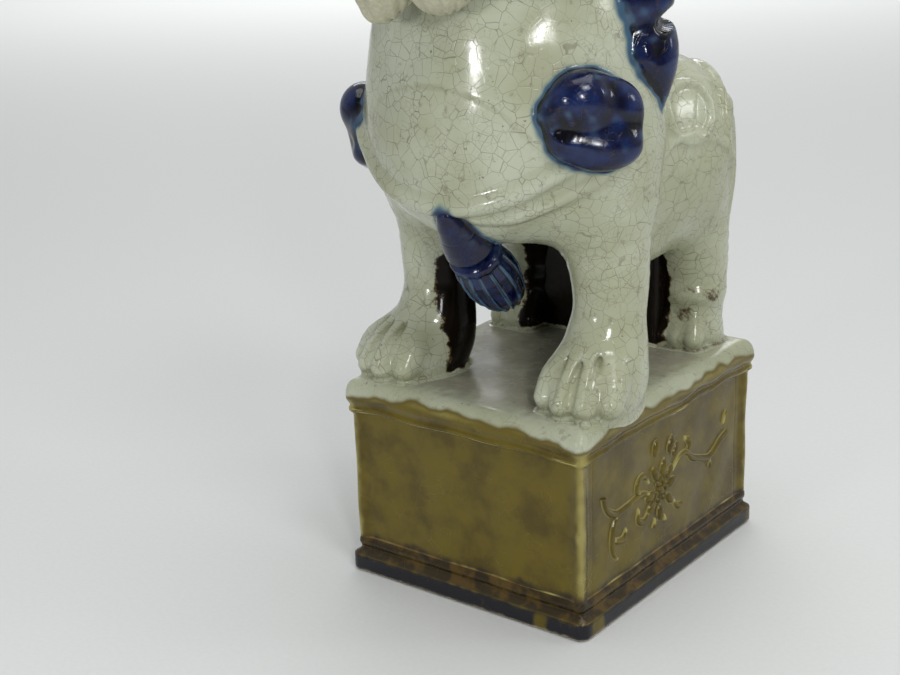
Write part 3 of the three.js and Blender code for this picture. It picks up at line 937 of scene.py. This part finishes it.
def cobalt_mask(p):
    gap = nearest(COBALT_SHAPES, p) + 0.6 * EDGE_WOBBLE(p)
    return smoothstep(2.8, -0.2, gap)


def wash_and_shade_mask(p):
    """Iron-dark wash on the inner sides of the legs, and painted shade: the same near black laid under the
    belly and between the legs.
    """
    wobble = EDGE_WOBBLE(p)
    reach = 27 + 2.5 * smoothstep(5, 20, p[:, 1])
    inward = smoothstep(2.5, -1.5, np.abs(p[:, 0] + 1) - reach + wobble)
    behind = smoothstep(-41, -36.5, p[:, 1] + wobble)
    ceiling = 120 + 20 * smoothstep(-42, -26, p[:, 1])
    below = smoothstep(2, -3, p[:, 2] - ceiling + 2 * wobble)
    above = smoothstep(80.5, 82.5, p[:, 2] + wobble)
    front = smoothstep(50, 46, p[:, 1])
    return inward * behind * below * above * front


# Each brown spot on the ankle: its middle and its radius.
ANKLE_SPOTS = [((43, 33, 109.5), 2.4), ((45, 43, 101), 2.6), ((38, 38, 104), 1.3), ((41, 34, 98.5), 3.0),
               ((36, 36, 94), 2.8)]


def stain_mask(p):
    """Brown stains where the feet meet the slab, at one ankle and between two curls."""
    luting = smoothstep(1.5, 0.2, np.abs(ground(p) - 0.3) + 0.5 * FINE_WOBBLE(p))
    feet = nearest([LIMBS["left_hind_leg"], LIMBS["right_hind_leg"]], p)
    stained = luting * smoothstep(2.4, 0.6, feet)
    for spot, size in ANKLE_SPOTS:
        away = lengths((p - np.array(spot, np.float32)) * np.float32([1, 1, 1.3]))
        spotted = smoothstep(size + 1.4, size - 0.6, away + 1.5 * FINE_WOBBLE(p))
        stained = np.maximum(stained, spotted)
    between = lengths(p - np.array([46, -21, 190], np.float32))
    stained = np.maximum(stained, 0.8 * smoothstep(5.0, 2.0, between + 1.6 * FINE_WOBBLE(p)))
    return np.clip(stained, 0, 1)


def dust_mask(p):
    """Grey dirt that lies on the slab between the feet."""
    inner = smoothstep(52, 40, np.abs(p[:, 0]) + 3 * EDGE_WOBBLE(p))
    inner = inner * smoothstep(62, 48, np.abs(p[:, 1]) + 3 * EDGE_WOBBLE(p))
    return inner * smoothstep(2.0, 0.4, np.abs(ground(p)))


def ochre_mask(p):
    """Where the ochre glaze starts, just under the rim, and lower at the corners."""
    flat = p * np.float32([2, 2, 0])
    corner = plinth_outline(p)[1]
    edge = PLINTH_TOP - 3.0 + 1.4 * HAND_LUMPS(flat) + 0.3 * EDGE_WOBBLE(p)
    edge = edge - 3.0 * smoothstep(18, 2, corner)
    return smoothstep(edge + 1.0, edge - 3.4, p[:, 2])


# Each drip: where it runs down the foot, and its width.
DRIPS = [((55, -55), 4.5), ((36, -64), 3.2), ((55, 62), 4.0), ((-55, 20), 4.0), ((-10, 64), 3.5)]


def slip_mask(p):
    """The dark band round the foot, broken where the ochre glaze ran down over it."""
    edge = SLIP_TOP - 0.4 + 0.5 * EDGE_WOBBLE(p)
    band = smoothstep(edge + 0.6, edge - 0.6, p[:, 2])
    for (x, y), width in DRIPS:
        away = np.hypot(p[:, 0] - x, p[:, 1] - y) + 0.8 * EDGE_WOBBLE(p) + 0.15 * p[:, 2]
        band = band * (1 - 0.9 * smoothstep(width + 1.0, width - 0.8, away))
    return band


def pool_mask(p):
    """Amber glaze pooled along the ledge above the foot."""
    edge = LEDGE_TOP + 1.2 + 0.9 * EDGE_WOBBLE(p) + 1.6 * HAND_LUMPS(p * 1.7)
    return smoothstep(edge + 1.6, edge - 1.2, p[:, 2]) * smoothstep(SLIP_TOP - 1.5, SLIP_TOP + 0.5, p[:, 2])


def edge_mask(p):
    """The upright corners of the plinth, where the glaze is thin."""
    corner = plinth_outline(p)[1] + 0.8 * EDGE_WOBBLE(p)
    return smoothstep(6.0, 2.4, corner) * smoothstep(LEDGE_TOP - 2, LEDGE_TOP + 6, p[:, 2])


def seam_and_shade_mask(p):
    """The dark line where the panels meet the ledge: glaze pooled in the crease, and painted shade there."""
    height = LEDGE_TOP + 0.2 + 0.6 * HAND_LUMPS(p * 1.3)
    strength = 0.55 + 0.45 * EDGE_WOBBLE(p * np.float32([0.4, 0.4, 0.1]))
    return np.clip(strength, 0.1, 1) * np.exp(-((p[:, 2] - height) / 1.5) ** 2)


def clay_mask(p):
    return smoothstep(1.3, 0.7, p[:, 2] + 0.25 * FINE_WOBBLE(p))


def set_masks(mesh, masks):
    for name, values in masks.items():
        layer = mesh.attributes.new(name, "FLOAT", "POINT")
        layer.data.foreach_set("value", np.asarray(values, np.float32))


def glaze_masks(field, points, out, reach):
    """Where the glaze is thick or thin, which glaze lies where, and where shade is painted: under the belly,
    and in some of the hollows.
    """
    hollow = np.clip((reach - field(points + out * reach)) / reach, 0, 1)
    ridge = np.clip((field(points - out * reach) + reach) / reach, 0, 1)
    return {
        "cobalt": cobalt_mask(points),
        "wash_and_shade": wash_and_shade_mask(points),
        "stain": stain_mask(points),
        "hollow": hollow,
        "ridge": ridge,
    }


def plinth_masks(field, points, out, reach):
    return {
        **glaze_masks(field, points, out, reach),
        "dust": dust_mask(points),
        "ochre": ochre_mask(points),
        "pool": pool_mask(points),
        "seam_and_shade": seam_and_shade_mask(points),
        "edge": edge_mask(points),
        "slip": slip_mask(points),
        "clay": clay_mask(points),
    }


# ------------------------------------------------------------------ glaze materials
def new_material(name):
    material = bpy.data.materials.new(name)
    material.use_nodes = True
    tree = material.node_tree
    tree.nodes.clear()
    output = tree.nodes.new("ShaderNodeOutputMaterial")
    shader = tree.nodes.new("ShaderNodeBsdfPrincipled")
    tree.links.new(shader.outputs["BSDF"], output.inputs["Surface"])
    return material, tree, shader


def feed(tree, socket, value):
    """Sets a socket from a number, a colour or another socket."""
    if isinstance(value, bpy.types.NodeSocket):
        tree.links.new(value, socket)
    elif isinstance(value, tuple):
        socket.default_value = (*value, 1.0) if len(socket.default_value) == 4 else value
    else:
        socket.default_value = value


def calculate(tree, operation, a, b=0.0):
    node = tree.nodes.new("ShaderNodeMath")
    node.operation = operation
    feed(tree, node.inputs[0], a)
    feed(tree, node.inputs[1], b)
    return node.outputs[0]


def times(tree, a, b):
    return calculate(tree, "MULTIPLY", a, b)


def mix(tree, share, a, b):
    node = tree.nodes.new("ShaderNodeMix")
    node.data_type = "RGBA"
    feed(tree, node.inputs["Factor"], share)
    feed(tree, node.inputs["A"], a)
    feed(tree, node.inputs["B"], b)
    return node.outputs["Result"]


def span(tree, value, low, high, out_low=0.0, out_high=1.0):
    """Maps low..high smoothly to out_low..out_high."""
    node = tree.nodes.new("ShaderNodeMapRange")
    node.interpolation_type = "SMOOTHSTEP"
    feed(tree, node.inputs["Value"], value)
    for socket, number in (("From Min", low), ("From Max", high), ("To Min", out_low), ("To Max", out_high)):
        node.inputs[socket].default_value = number
    return node.outputs["Result"]


def place_of(tree):
    return tree.nodes.new("ShaderNodeTexCoord").outputs["Object"]


def vector_math(tree, operation, a, b=(0.0, 0.0, 0.0)):
    node = tree.nodes.new("ShaderNodeVectorMath")
    node.operation = operation
    feed(tree, node.inputs[0], a)
    feed(tree, node.inputs[1], b)
    return node


def noise_node(tree, coordinates, size_mm, detail=2.0, roughness=0.5):
    node = tree.nodes.new("ShaderNodeTexNoise")
    feed(tree, node.inputs["Vector"], coordinates)
    node.inputs["Scale"].default_value = 1 / (size_mm * MM)
    node.inputs["Detail"].default_value = detail
    node.inputs["Roughness"].default_value = roughness
    return node


def noise(*choices):
    return noise_node(*choices).outputs["Fac"]


def warped(tree, coordinates, size_mm, push_mm):
    """Coordinates pushed about by noise, so that straight cell edges wander."""
    source = noise_node(tree, coordinates, size_mm).outputs["Color"]
    centred = vector_math(tree, "SUBTRACT", source, (0.5, 0.5, 0.5))
    scaled = vector_math(tree, "SCALE", centred.outputs[0])
    scaled.inputs["Scale"].default_value = push_mm * MM * 2
    return vector_math(tree, "ADD", coordinates, scaled.outputs[0]).outputs[0]


def crack_lines(tree, coordinates, cell_mm, line_mm):
    """1 on the lines between irregular cells, 0 inside them."""
    cells = tree.nodes.new("ShaderNodeTexVoronoi")
    cells.feature = "DISTANCE_TO_EDGE"
    feed(tree, cells.inputs["Vector"], coordinates)
    cells.inputs["Scale"].default_value = 1 / (cell_mm * MM)
    width = line_mm / cell_mm
    return span(tree, cells.outputs["Distance"], width * 0.35, width * 1.3, 1.0, 0.0)


def mask(tree, name):
    node = tree.nodes.new("ShaderNodeAttribute")
    node.attribute_name = name
    return node.outputs["Fac"]


CELADON = (0.395, 0.410, 0.275)
CELADON_PALE = (0.50, 0.53, 0.41)
CELADON_DEEP = (0.290, 0.300, 0.185)
CRACK = (0.115, 0.098, 0.055)
COBALT = (0.0022, 0.0036, 0.030)
COBALT_MID = (0.006, 0.018, 0.085)
COBALT_THIN = (0.055, 0.115, 0.180)
COBALT_HALO = (0.20, 0.27, 0.25)
COBALT_POOL_AND_SHADE = (0.0010, 0.0010, 0.004)
# Near black: iron wash, and painted shade under the belly and between the legs.
WASH_AND_SHADE = (0.007, 0.005, 0.003)
STAIN = (0.070, 0.042, 0.016)
DUST = (0.285, 0.270, 0.205)
OCHRE = (0.139, 0.102, 0.006)
OCHRE_DEEP = (0.066, 0.044, 0.003)
RIM_BROWN = (0.112, 0.082, 0.012)
OCHRE_THIN = (0.40, 0.35, 0.115)
HONEY = (0.150, 0.085, 0.012)
TREACLE = (0.020, 0.012, 0.004)
SLIP = (0.010, 0.010, 0.014)
CLAY = (0.34, 0.28, 0.20)
POOL_AND_SHADE_BLACK = (0.008, 0.005, 0.003)
SLIP_WORN = (0.10, 0.05, 0.012)
BISQUE = (0.50, 0.485, 0.355)
BISQUE_WARM = (0.42, 0.40, 0.28)
BISQUE_PAINTED_SHADE = (0.22, 0.195, 0.12)
EYE_WHITE = (0.52, 0.50, 0.38)
IRIS = (0.05, 0.028, 0.010)
PUPIL = (0.004, 0.004, 0.005)
TOOTH = (0.55, 0.53, 0.42)
TOOTH_DEEP = (0.35, 0.31, 0.20)
TONGUE = (0.11, 0.035, 0.018)
TONGUE_DEEP = (0.035, 0.012, 0.008)
PAPER = (0.66, 0.675, 0.66)
PAPER_PALE = (0.68, 0.69, 0.675)


def crackle(tree, place):
    """The strength of the crackle lines: a main net and a finer one that comes and goes."""
    wander = warped(tree, place, 9.0, 1.3)
    main = crack_lines(tree, wander, 4.9, 0.11)
    fine = crack_lines(tree, warped(tree, place, 5.0, 0.9), 3.1, 0.09)
    patches = span(tree, noise(tree, place, 16.0), 0.42, 0.62, 0.0, 0.6)
    fade = span(tree, noise(tree, place, 11.0, 3.0), 0.3, 0.62, 0.3, 1.0)
    fine = times(tree, fine, patches)
    main = times(tree, main, fade)
    return calculate(tree, "MAXIMUM", main, fine)


def celadon_colour(tree, place, cracks):
    cloud = span(tree, noise(tree, place, 34.0, 3.0), 0.35, 0.65)
    colour = mix(tree, cloud, CELADON, CELADON_PALE)
    pooled = times(tree, mask(tree, "hollow"), 1.4)
    colour = mix(tree, pooled, colour, CELADON_DEEP)
    thin = span(tree, mask(tree, "ridge"), 0.25, 0.8, 0.0, 0.5)
    colour = mix(tree, thin, colour, CELADON_PALE)
    specks = span(tree, noise(tree, place, 1.6, 1.0), 0.74, 0.80, 0.0, 0.7)
    colour = mix(tree, specks, colour, CRACK)
    return mix(tree, times(tree, cracks, 0.58), colour, CRACK)


def cobalt_colour(tree, place):
    cloud = noise(tree, place, 9.0, 3.0, 0.6)
    colour = mix(tree, span(tree, cloud, 0.40, 0.66), COBALT, COBALT_MID)
    ridge = times(tree, mask(tree, "ridge"), span(tree, cloud, 0.3, 0.7, 0.55, 1.5))
    colour = mix(tree, span(tree, ridge, 0.20, 0.75, 0.0, 0.85), colour, COBALT_THIN)
    # Pooled glaze and painted shade: the deepest hollows of the cobalt go near black.
    sunk = times(tree, mask(tree, "hollow"), span(tree, mask(tree, "cobalt"), 0.90, 1.0))
    return mix(tree, span(tree, sunk, 0.04, 0.26), colour, COBALT_POOL_AND_SHADE)


def over_cobalt(tree, place, colour):
    """Cobalt painted over a glaze, bleeding teal at its edge."""
    amount = mask(tree, "cobalt")
    colour = mix(tree, span(tree, amount, 0.02, 0.5, 0.0, 0.8), colour, COBALT_HALO)
    colour = mix(tree, span(tree, amount, 0.35, 0.75), colour, COBALT_THIN)
    return mix(tree, span(tree, amount, 0.60, 0.97), colour, cobalt_colour(tree, place))


def over_dirt_and_shade(tree, place, colour):
    """Brown stains, and the near black under the body, which is iron wash and painted shade."""
    broken = span(tree, noise(tree, place, 3.0, 4.0, 0.7), 0.35, 0.6)
    stained = times(tree, mask(tree, "stain"), broken)
    colour = mix(tree, stained, colour, STAIN)
    ragged = calculate(tree, "ADD", mask(tree, "wash_and_shade"), span(
        tree, noise(tree, place, 4.0, 4.0, 0.7), 0.3, 0.7, -0.25, 0.25))
    colour = mix(tree, span(tree, ragged, 0.15, 0.42), colour, STAIN)
    return mix(tree, span(tree, ragged, 0.38, 0.62), colour, WASH_AND_SHADE)


def roughen(tree, shader, height, strength, depth_mm):
    """Fine surface relief from a height pattern."""
    bump = tree.nodes.new("ShaderNodeBump")
    bump.inputs["Strength"].default_value = strength
    bump.inputs["Distance"].default_value = depth_mm * MM
    tree.links.new(height, bump.inputs["Height"])
    tree.links.new(bump.outputs["Normal"], shader.inputs["Normal"])


def finish_glaze(tree, shader, place, cracks, roughness):
    """Gloss, and a skin that is slightly uneven and breaks at the cracks."""
    smear = span(tree, noise(tree, place, 12.0, 4.0), 0.35, 0.7, roughness, roughness + 0.08)
    tree.links.new(calculate(tree, "ADD", smear, times(tree, cracks, 0.12)),
                   shader.inputs["Roughness"])
    shader.inputs["IOR"].default_value = 1.47
    dimples = noise(tree, place, 3.2, 2.0)
    swell = noise(tree, place, 11.0, 2.0)
    height = calculate(tree, "ADD", times(tree, dimples, 0.10), swell)
    height = calculate(tree, "SUBTRACT", height, times(tree, cracks, 0.10))
    roughen(tree, shader, height, 0.25, 0.6)


def celadon_material():
    material, tree, shader = new_material("celadon_crackle_glaze")
    place = place_of(tree)
    cracks = crackle(tree, place)
    colour = over_cobalt(tree, place, celadon_colour(tree, place, cracks))
    tree.links.new(over_dirt_and_shade(tree, place, colour), shader.inputs["Base Color"])
    finish_glaze(tree, shader, place, cracks, 0.10)
    # Painted shade: where the wash and shade lie, the glaze also reflects less.
    tree.links.new(span(tree, mask(tree, "wash_and_shade"), 0.3, 0.7, 0.5, 0.12), shader.inputs["Specular IOR Level"])
    return material


def plinth_material():
    material, tree, shader = new_material("plinth_glazes")
    place = place_of(tree)
    cracks = crackle(tree, place)
    pale = celadon_colour(tree, place, times(tree, cracks, 0.5))
    grime = span(tree, noise(tree, place, 7.0, 5.0, 0.65), 0.30, 0.60, 0.45, 1.0)
    pale = mix(tree, times(tree, mask(tree, "dust"), grime), pale, DUST)
    mottle = noise(tree, place, 17.0, 5.0, 0.6)
    ochre = mix(tree, span(tree, mottle, 0.38, 0.68, 0.0, 0.85), OCHRE, OCHRE_DEEP)
    # Pooled glaze and painted shade: treacle-dark along the crease above the ledge.
    ochre = mix(tree, mask(tree, "seam_and_shade"), ochre, TREACLE)
    ochre = mix(tree, times(tree, mask(tree, "edge"), 0.75), ochre, OCHRE_THIN)
    thin = times(tree, mask(tree, "ridge"), span(tree, mottle, 0.3, 0.6, 0.8, 1.5))
    ochre = mix(tree, span(tree, thin, 0.10, 0.45, 0.0, 0.9), ochre, OCHRE_THIN)
    ochre = mix(tree, span(tree, mask(tree, "hollow"), 0.06, 0.35, 0.0, 0.8), ochre, OCHRE_DEEP)
    streak = noise(tree, place, 6.0, 4.0)
    amber = mix(tree, span(tree, streak, 0.34, 0.56, 0.5, 1.0), HONEY, TREACLE)
    # Painted highlight: honey colour along the ridge tops of the amber pool.
    ridge_highlight = times(tree, mask(tree, "ridge"), span(tree, streak, 0.3, 0.6, 1.6, 0.6))
    amber = mix(tree, span(tree, ridge_highlight, 0.12, 0.5, 0.0, 0.9), amber, HONEY)
    # Pooled glaze and painted shade: the hollows of the amber pool go near black.
    amber = mix(tree, span(tree, mask(tree, "hollow"), 0.05, 0.25), amber, POOL_AND_SHADE_BLACK)
    ochre = mix(tree, times(tree, mask(tree, "pool"), 0.9), ochre, amber)
    colour = mix(tree, span(tree, mask(tree, "ochre"), 0.05, 0.60), pale, RIM_BROWN)
    colour = mix(tree, span(tree, mask(tree, "ochre"), 0.45, 1.0), colour, ochre)
    worn = times(tree, mask(tree, "ridge"), span(tree, streak, 0.35, 0.6, 0.0, 1.0))
    slip = mix(tree, span(tree, worn, 0.15, 0.5, 0.0, 0.8), SLIP, SLIP_WORN)
    colour = mix(tree, mask(tree, "slip"), colour, slip)
    colour = over_dirt_and_shade(tree, place, colour)
    tree.links.new(mix(tree, mask(tree, "clay"), colour, CLAY), shader.inputs["Base Color"])
    finish_glaze(tree, shader, place, times(tree, cracks, 0.4), 0.18)
    shader.inputs["IOR"].default_value = 1.40
    return material


def bisque_material():
    material, tree, shader = new_material("dry_buff_clay")
    place = place_of(tree)
    grain = noise(tree, place, 1.2, 4.0, 0.7)
    colour = mix(tree, span(tree, grain, 0.35, 0.65), BISQUE, BISQUE_WARM)
    # Painted shade: the clay is darker in its hollows.
    colour = mix(tree, span(tree, mask(tree, "hollow"), 0.05, 0.5, 0.0, 0.7), colour, BISQUE_PAINTED_SHADE)
    tree.links.new(colour, shader.inputs["Base Color"])
    shader.inputs["Roughness"].default_value = 0.48
    roughen(tree, shader, grain, 0.4, 0.2)
    return material


def plain_glaze_material(name, colour, deep, roughness):
    material, tree, shader = new_material(name)
    place = place_of(tree)
    cracks = times(tree, crackle(tree, place), 0.4)
    shade = mix(tree, span(tree, noise(tree, place, 4.0, 3.0), 0.35, 0.7), colour, deep)
    shade = mix(tree, span(tree, mask(tree, "hollow"), 0.1, 0.5), shade, deep)
    tree.links.new(mix(tree, cracks, shade, CRACK), shader.inputs["Base Color"])
    finish_glaze(tree, shader, place, cracks, roughness)
    return material


def eye_material():
    material, tree, shader = new_material("painted_eye")
    place = place_of(tree)
    ring = mask(tree, "gaze")
    white = mix(tree, span(tree, noise(tree, place, 5.0), 0.4, 0.7), EYE_WHITE, CELADON)
    colour = mix(tree, span(tree, ring, 0.74, 0.79), white, IRIS)
    colour = mix(tree, span(tree, ring, 0.88, 0.91), colour, PUPIL)
    tree.links.new(colour, shader.inputs["Base Color"])
    finish_glaze(tree, shader, place, times(tree, crackle(tree, place), 0.2), 0.08)
    return material


MATERIALS = {
    "celadon": celadon_material(),
    "plinth": plinth_material(),
    "bisque": bisque_material(),
    "tooth": plain_glaze_material("cream_glaze", TOOTH, TOOTH_DEEP, 0.16),
    "tongue": plain_glaze_material("iron_brown_glaze", TONGUE, TONGUE_DEEP, 0.16),
    "eye": eye_material(),
}


# ------------------------------------------------------------------ pieces
MARGIN = 5.0


def make_piece(node, field, material, voxel, margin=MARGIN, masks=glaze_masks, extra=None, reach=1.6):
    """Meshes a field around a CAD node, gives it its glaze masks, and lets it stand for the node."""
    low, high = node_box(node)
    points, quads = surface(field, low - margin, high + margin, voxel)
    out, gap = field_slope(field, points, voxel * 0.3)
    points = (points - out * np.clip(gap, -voxel, voxel)[:, None] * 0.9).astype(np.float32)
    mesh = bpy.data.meshes.new(f"{node}_glazed")
    mesh.from_pydata(to_metres(points), [], quads)
    mesh.polygons.foreach_set("use_smooth", np.ones(len(mesh.polygons), bool))
    set_masks(mesh, masks(field, points, out, reach))
    if extra:
        set_masks(mesh, extra(points))
    mesh.materials.append(MATERIALS[material])
    mesh.update()
    piece = bpy.data.objects.new(f"{node}_glazed", mesh)
    bpy.context.scene.collection.objects.link(piece)
    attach(piece, "root")
    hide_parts(node)


def make_plinth():
    wall_low = LEDGE_TOP + 0.2
    wall_high = PLINTH_TOP - 12.2
    joint = HALF_DEPTH - 11
    x = HALF_WIDTH + 5
    y = HALF_DEPTH + 5
    regions = {
        "plinth_top_slab": ((-x, -y, wall_high), (x, y, 90)),
        "plinth_foot": ((-x, -y, -5), (x, y, wall_low)),
        "plinth_front_wall": ((-x, -y, wall_low), (x, -joint, wall_high)),
        "plinth_back_wall": ((-x, joint, wall_low), (x, y, wall_high)),
        "plinth_left_wall": ((30, -joint, wall_low), (x, joint, wall_high)),
        "plinth_right_wall": ((-x, -joint, wall_low), (-30, joint, wall_high)),
    }
    for node, (low, high) in regions.items():
        make_piece(node, kept_between(low, high), "plinth", 0.75, margin=3, masks=plinth_masks)


def make_relief():
    for word, side in SIDES.items():
        raised = {
            f"{word}_wall_flower": flower(side),
            f"{word}_wall_back_vine": vine(side, BACK_VINE),
            f"{word}_wall_front_vine": vine(side, FRONT_VINE),
        }
        for node, shape in raised.items():
            make_piece(node, overlay(plinth, shape, 0.8), "plinth", 0.4, margin=10, masks=plinth_masks,
                       reach=1.0)


def make_body():
    make_piece("torso", torso, "celadon", 1.1, margin=8)
    for node, limb in LIMBS.items():
        make_piece(node, limb_on_body(limb), "celadon", 0.8, margin=7)
    make_piece("rear_web", rear_web, "celadon", 1.0, margin=4)


def limb_on_body(limb):
    """A leg fused to the torso in a wide fillet and to the slab in a narrow one, marks and all."""
    def distance(p):
        under = torso_masses(p)
        over = limb(p) + 0.4 * HAND_LUMPS(p)
        fused = blend(blend(under, over, LIMB_BLEND), HAUNCH_MARKS(p), 1.8) + EDGE_SINK
        upper = np.maximum(np.maximum(fused, -under - FACE_DEPTH), over - LIMB_BLEND)
        floor = plinth(p) + EDGE_SINK
        return np.maximum(blend(upper, floor, 3.5), np.maximum(-floor - 2, upper - 3.5))

    return distance


def make_trim():
    make_piece("chest_strap", overlay(body, chest_strap(), 4.0), "celadon", 0.6, margin=12)
    for node, shape in TASSEL.items():
        make_piece(node, overlay(body, shape, 1.6), "celadon", 0.4, margin=8)
    make_piece("tail_plume", overlay(body, TAIL, 3.0), "celadon", 0.6)
    for word, side in SIDES.items():
        make_piece(f"tail_{word}_strand", overlay(body, tail_strand(side), 2.5), "celadon", 0.6, margin=15)


def eye_masks(side):
    centre = np.array(sided(EYE_AT, side), np.float32)
    gaze = np.array([EYE_TURN * side, -1, -0.05], np.float32)
    gaze /= np.linalg.norm(gaze)

    def values(points):
        away = points - centre
        return {"gaze": (away @ gaze) / np.maximum(lengths(away), 1e-3)}

    return values


def make_head():
    make_piece("head_shell", overlay(torso, head, 10.0), "celadon", 0.8, margin=7)
    make_piece("lower_jaw", overlay(neck_and_head, lower_jaw(), 2.5), "celadon", 0.6)
    make_piece("tongue", tongue(), "tongue", 0.5)
    make_piece("upper_teeth", teeth(21, 16, -73, 252, 3, -1), "tooth", 0.4, margin=3)
    make_piece("lower_teeth", teeth(19.5, 17, -70, 242, 2, 1), "tooth", 0.4, margin=3)
    make_piece("nose", overlay(neck_and_head, nose(), 2.0), "celadon", 0.5)
    for word, side in SIDES.items():
        eyeball = ball(sided(EYE_AT, side), (EYE_RADIUS,) * 3)
        make_piece(f"{word}_eye", eyeball, "eye", 0.5, margin=3, extra=eye_masks(side))
        make_piece(f"{word}_brow", overlay(neck_and_head, brow(side), 2.0), "celadon", 0.5)
        make_piece(f"{word}_ear", overlay(neck_and_head, ear(side), 3.0), "celadon", 0.6)
        make_piece(f"{word}_beard_tuft", overlay(neck_and_head, beard_tuft(side), 1.5), "bisque", 0.45)


def make_curl_pieces():
    for node, shape in CURLS.items():
        voxel = 0.45 if "shoulder" in node or "neck" in node else 0.6
        make_piece(node, overlay(whole_lion, shape, 2.2), "celadon", voxel, margin=11, reach=4.5)


make_plinth()
make_relief()
make_body()
make_trim()
make_head()
make_curl_pieces()


# ------------------------------------------------------------------ floor and light
def stage_material():
    material, tree, shader = new_material("pale_backdrop")
    paper = noise(tree, place_of(tree), 2.0, 2.0)
    tree.links.new(mix(tree, span(tree, paper, 0.3, 0.7), PAPER, PAPER_PALE),
                   shader.inputs["Base Color"])
    shader.inputs["Roughness"].default_value = 0.7
    shader.inputs["Specular IOR Level"].default_value = 0.2
    return material


def make_stage():
    half = 12.0
    corners = [(-half, -half, 0), (half, -half, 0), (half, half, 0), (-half, half, 0)]
    mesh = bpy.data.meshes.new("floor")
    mesh.from_pydata([to_metres((0, 0, 0)) + np.array(c) for c in corners], [], [(0, 1, 2, 3)])
    mesh.materials.append(stage_material())
    floor = bpy.data.objects.new("floor", mesh)
    bpy.context.scene.collection.objects.link(floor)


def area_light(name, place, aim, size, power):
    data = bpy.data.lights.new(name, "AREA")
    data.shape = "RECTANGLE"
    data.size, data.size_y = size
    data.energy = power
    light = bpy.data.objects.new(name, data)
    start = to_metres(place)
    direction = np.array(to_metres(aim)) - start
    light.matrix_world = Matrix.Translation(start) @ look_along(direction)
    bpy.context.scene.collection.objects.link(light)


def look_along(direction):
    back = -np.array(direction) / np.linalg.norm(direction)
    right = np.cross((0, 0, 1), back)
    right /= np.linalg.norm(right)
    up = np.cross(back, right)
    return Matrix([right, up, back]).transposed().to_4x4()


ROOM_FRONT = (0.55, -0.80, 0.10)
ROOM_PALE = (0.95, 0.97, 1.0)
ROOM_DIM = (0.20, 0.21, 0.22)
ROOM_STRENGTH = 0.52
FIGURE_MIDDLE = (0, 0, 160)
# Each light: its name, place, aim, size in metres and power in watts.
LIGHTS = [
    ("window_front", (764, -764, 553), FIGURE_MIDDLE, (0.10, 0.16), 3.1),
    ("window_left", (-60, -1150, 330), FIGURE_MIDDLE, (0.12, 0.12), 1.9),
    ("window_high", (700, -350, 1050), FIGURE_MIDDLE, (0.30, 0.26), 3.2),
    ("window_back", (900, 560, 650), FIGURE_MIDDLE, (0.16, 0.22), 0.9),
    ("ceiling", (100, 100, 1700), FIGURE_MIDDLE, (1.2, 1.2), 9.8),
    ("backdrop_lamp", (-1500, 2100, 1500), (-1700, 2300, 0), (2.0, 1.2), 38.0),
]


def make_world():
    """A pale room that is darker on the side the figure faces."""
    world = bpy.data.worlds.new("soft_room")
    world.use_nodes = True
    tree = world.node_tree
    background = tree.nodes["Background"]
    outward = tree.nodes.new("ShaderNodeTexCoord").outputs["Generated"]
    facing = vector_math(tree, "DOT_PRODUCT", outward, ROOM_FRONT)
    shade = span(tree, facing.outputs["Value"], -0.1, 0.85)
    tree.links.new(mix(tree, shade, ROOM_PALE, ROOM_DIM), background.inputs["Color"])
    background.inputs["Strength"].default_value = ROOM_STRENGTH
    bpy.context.scene.world = world


def make_lights():
    make_world()
    for choices in LIGHTS:
        area_light(*choices)
    bpy.context.scene.view_settings.view_transform = "Standard"


make_stage()
make_lights()
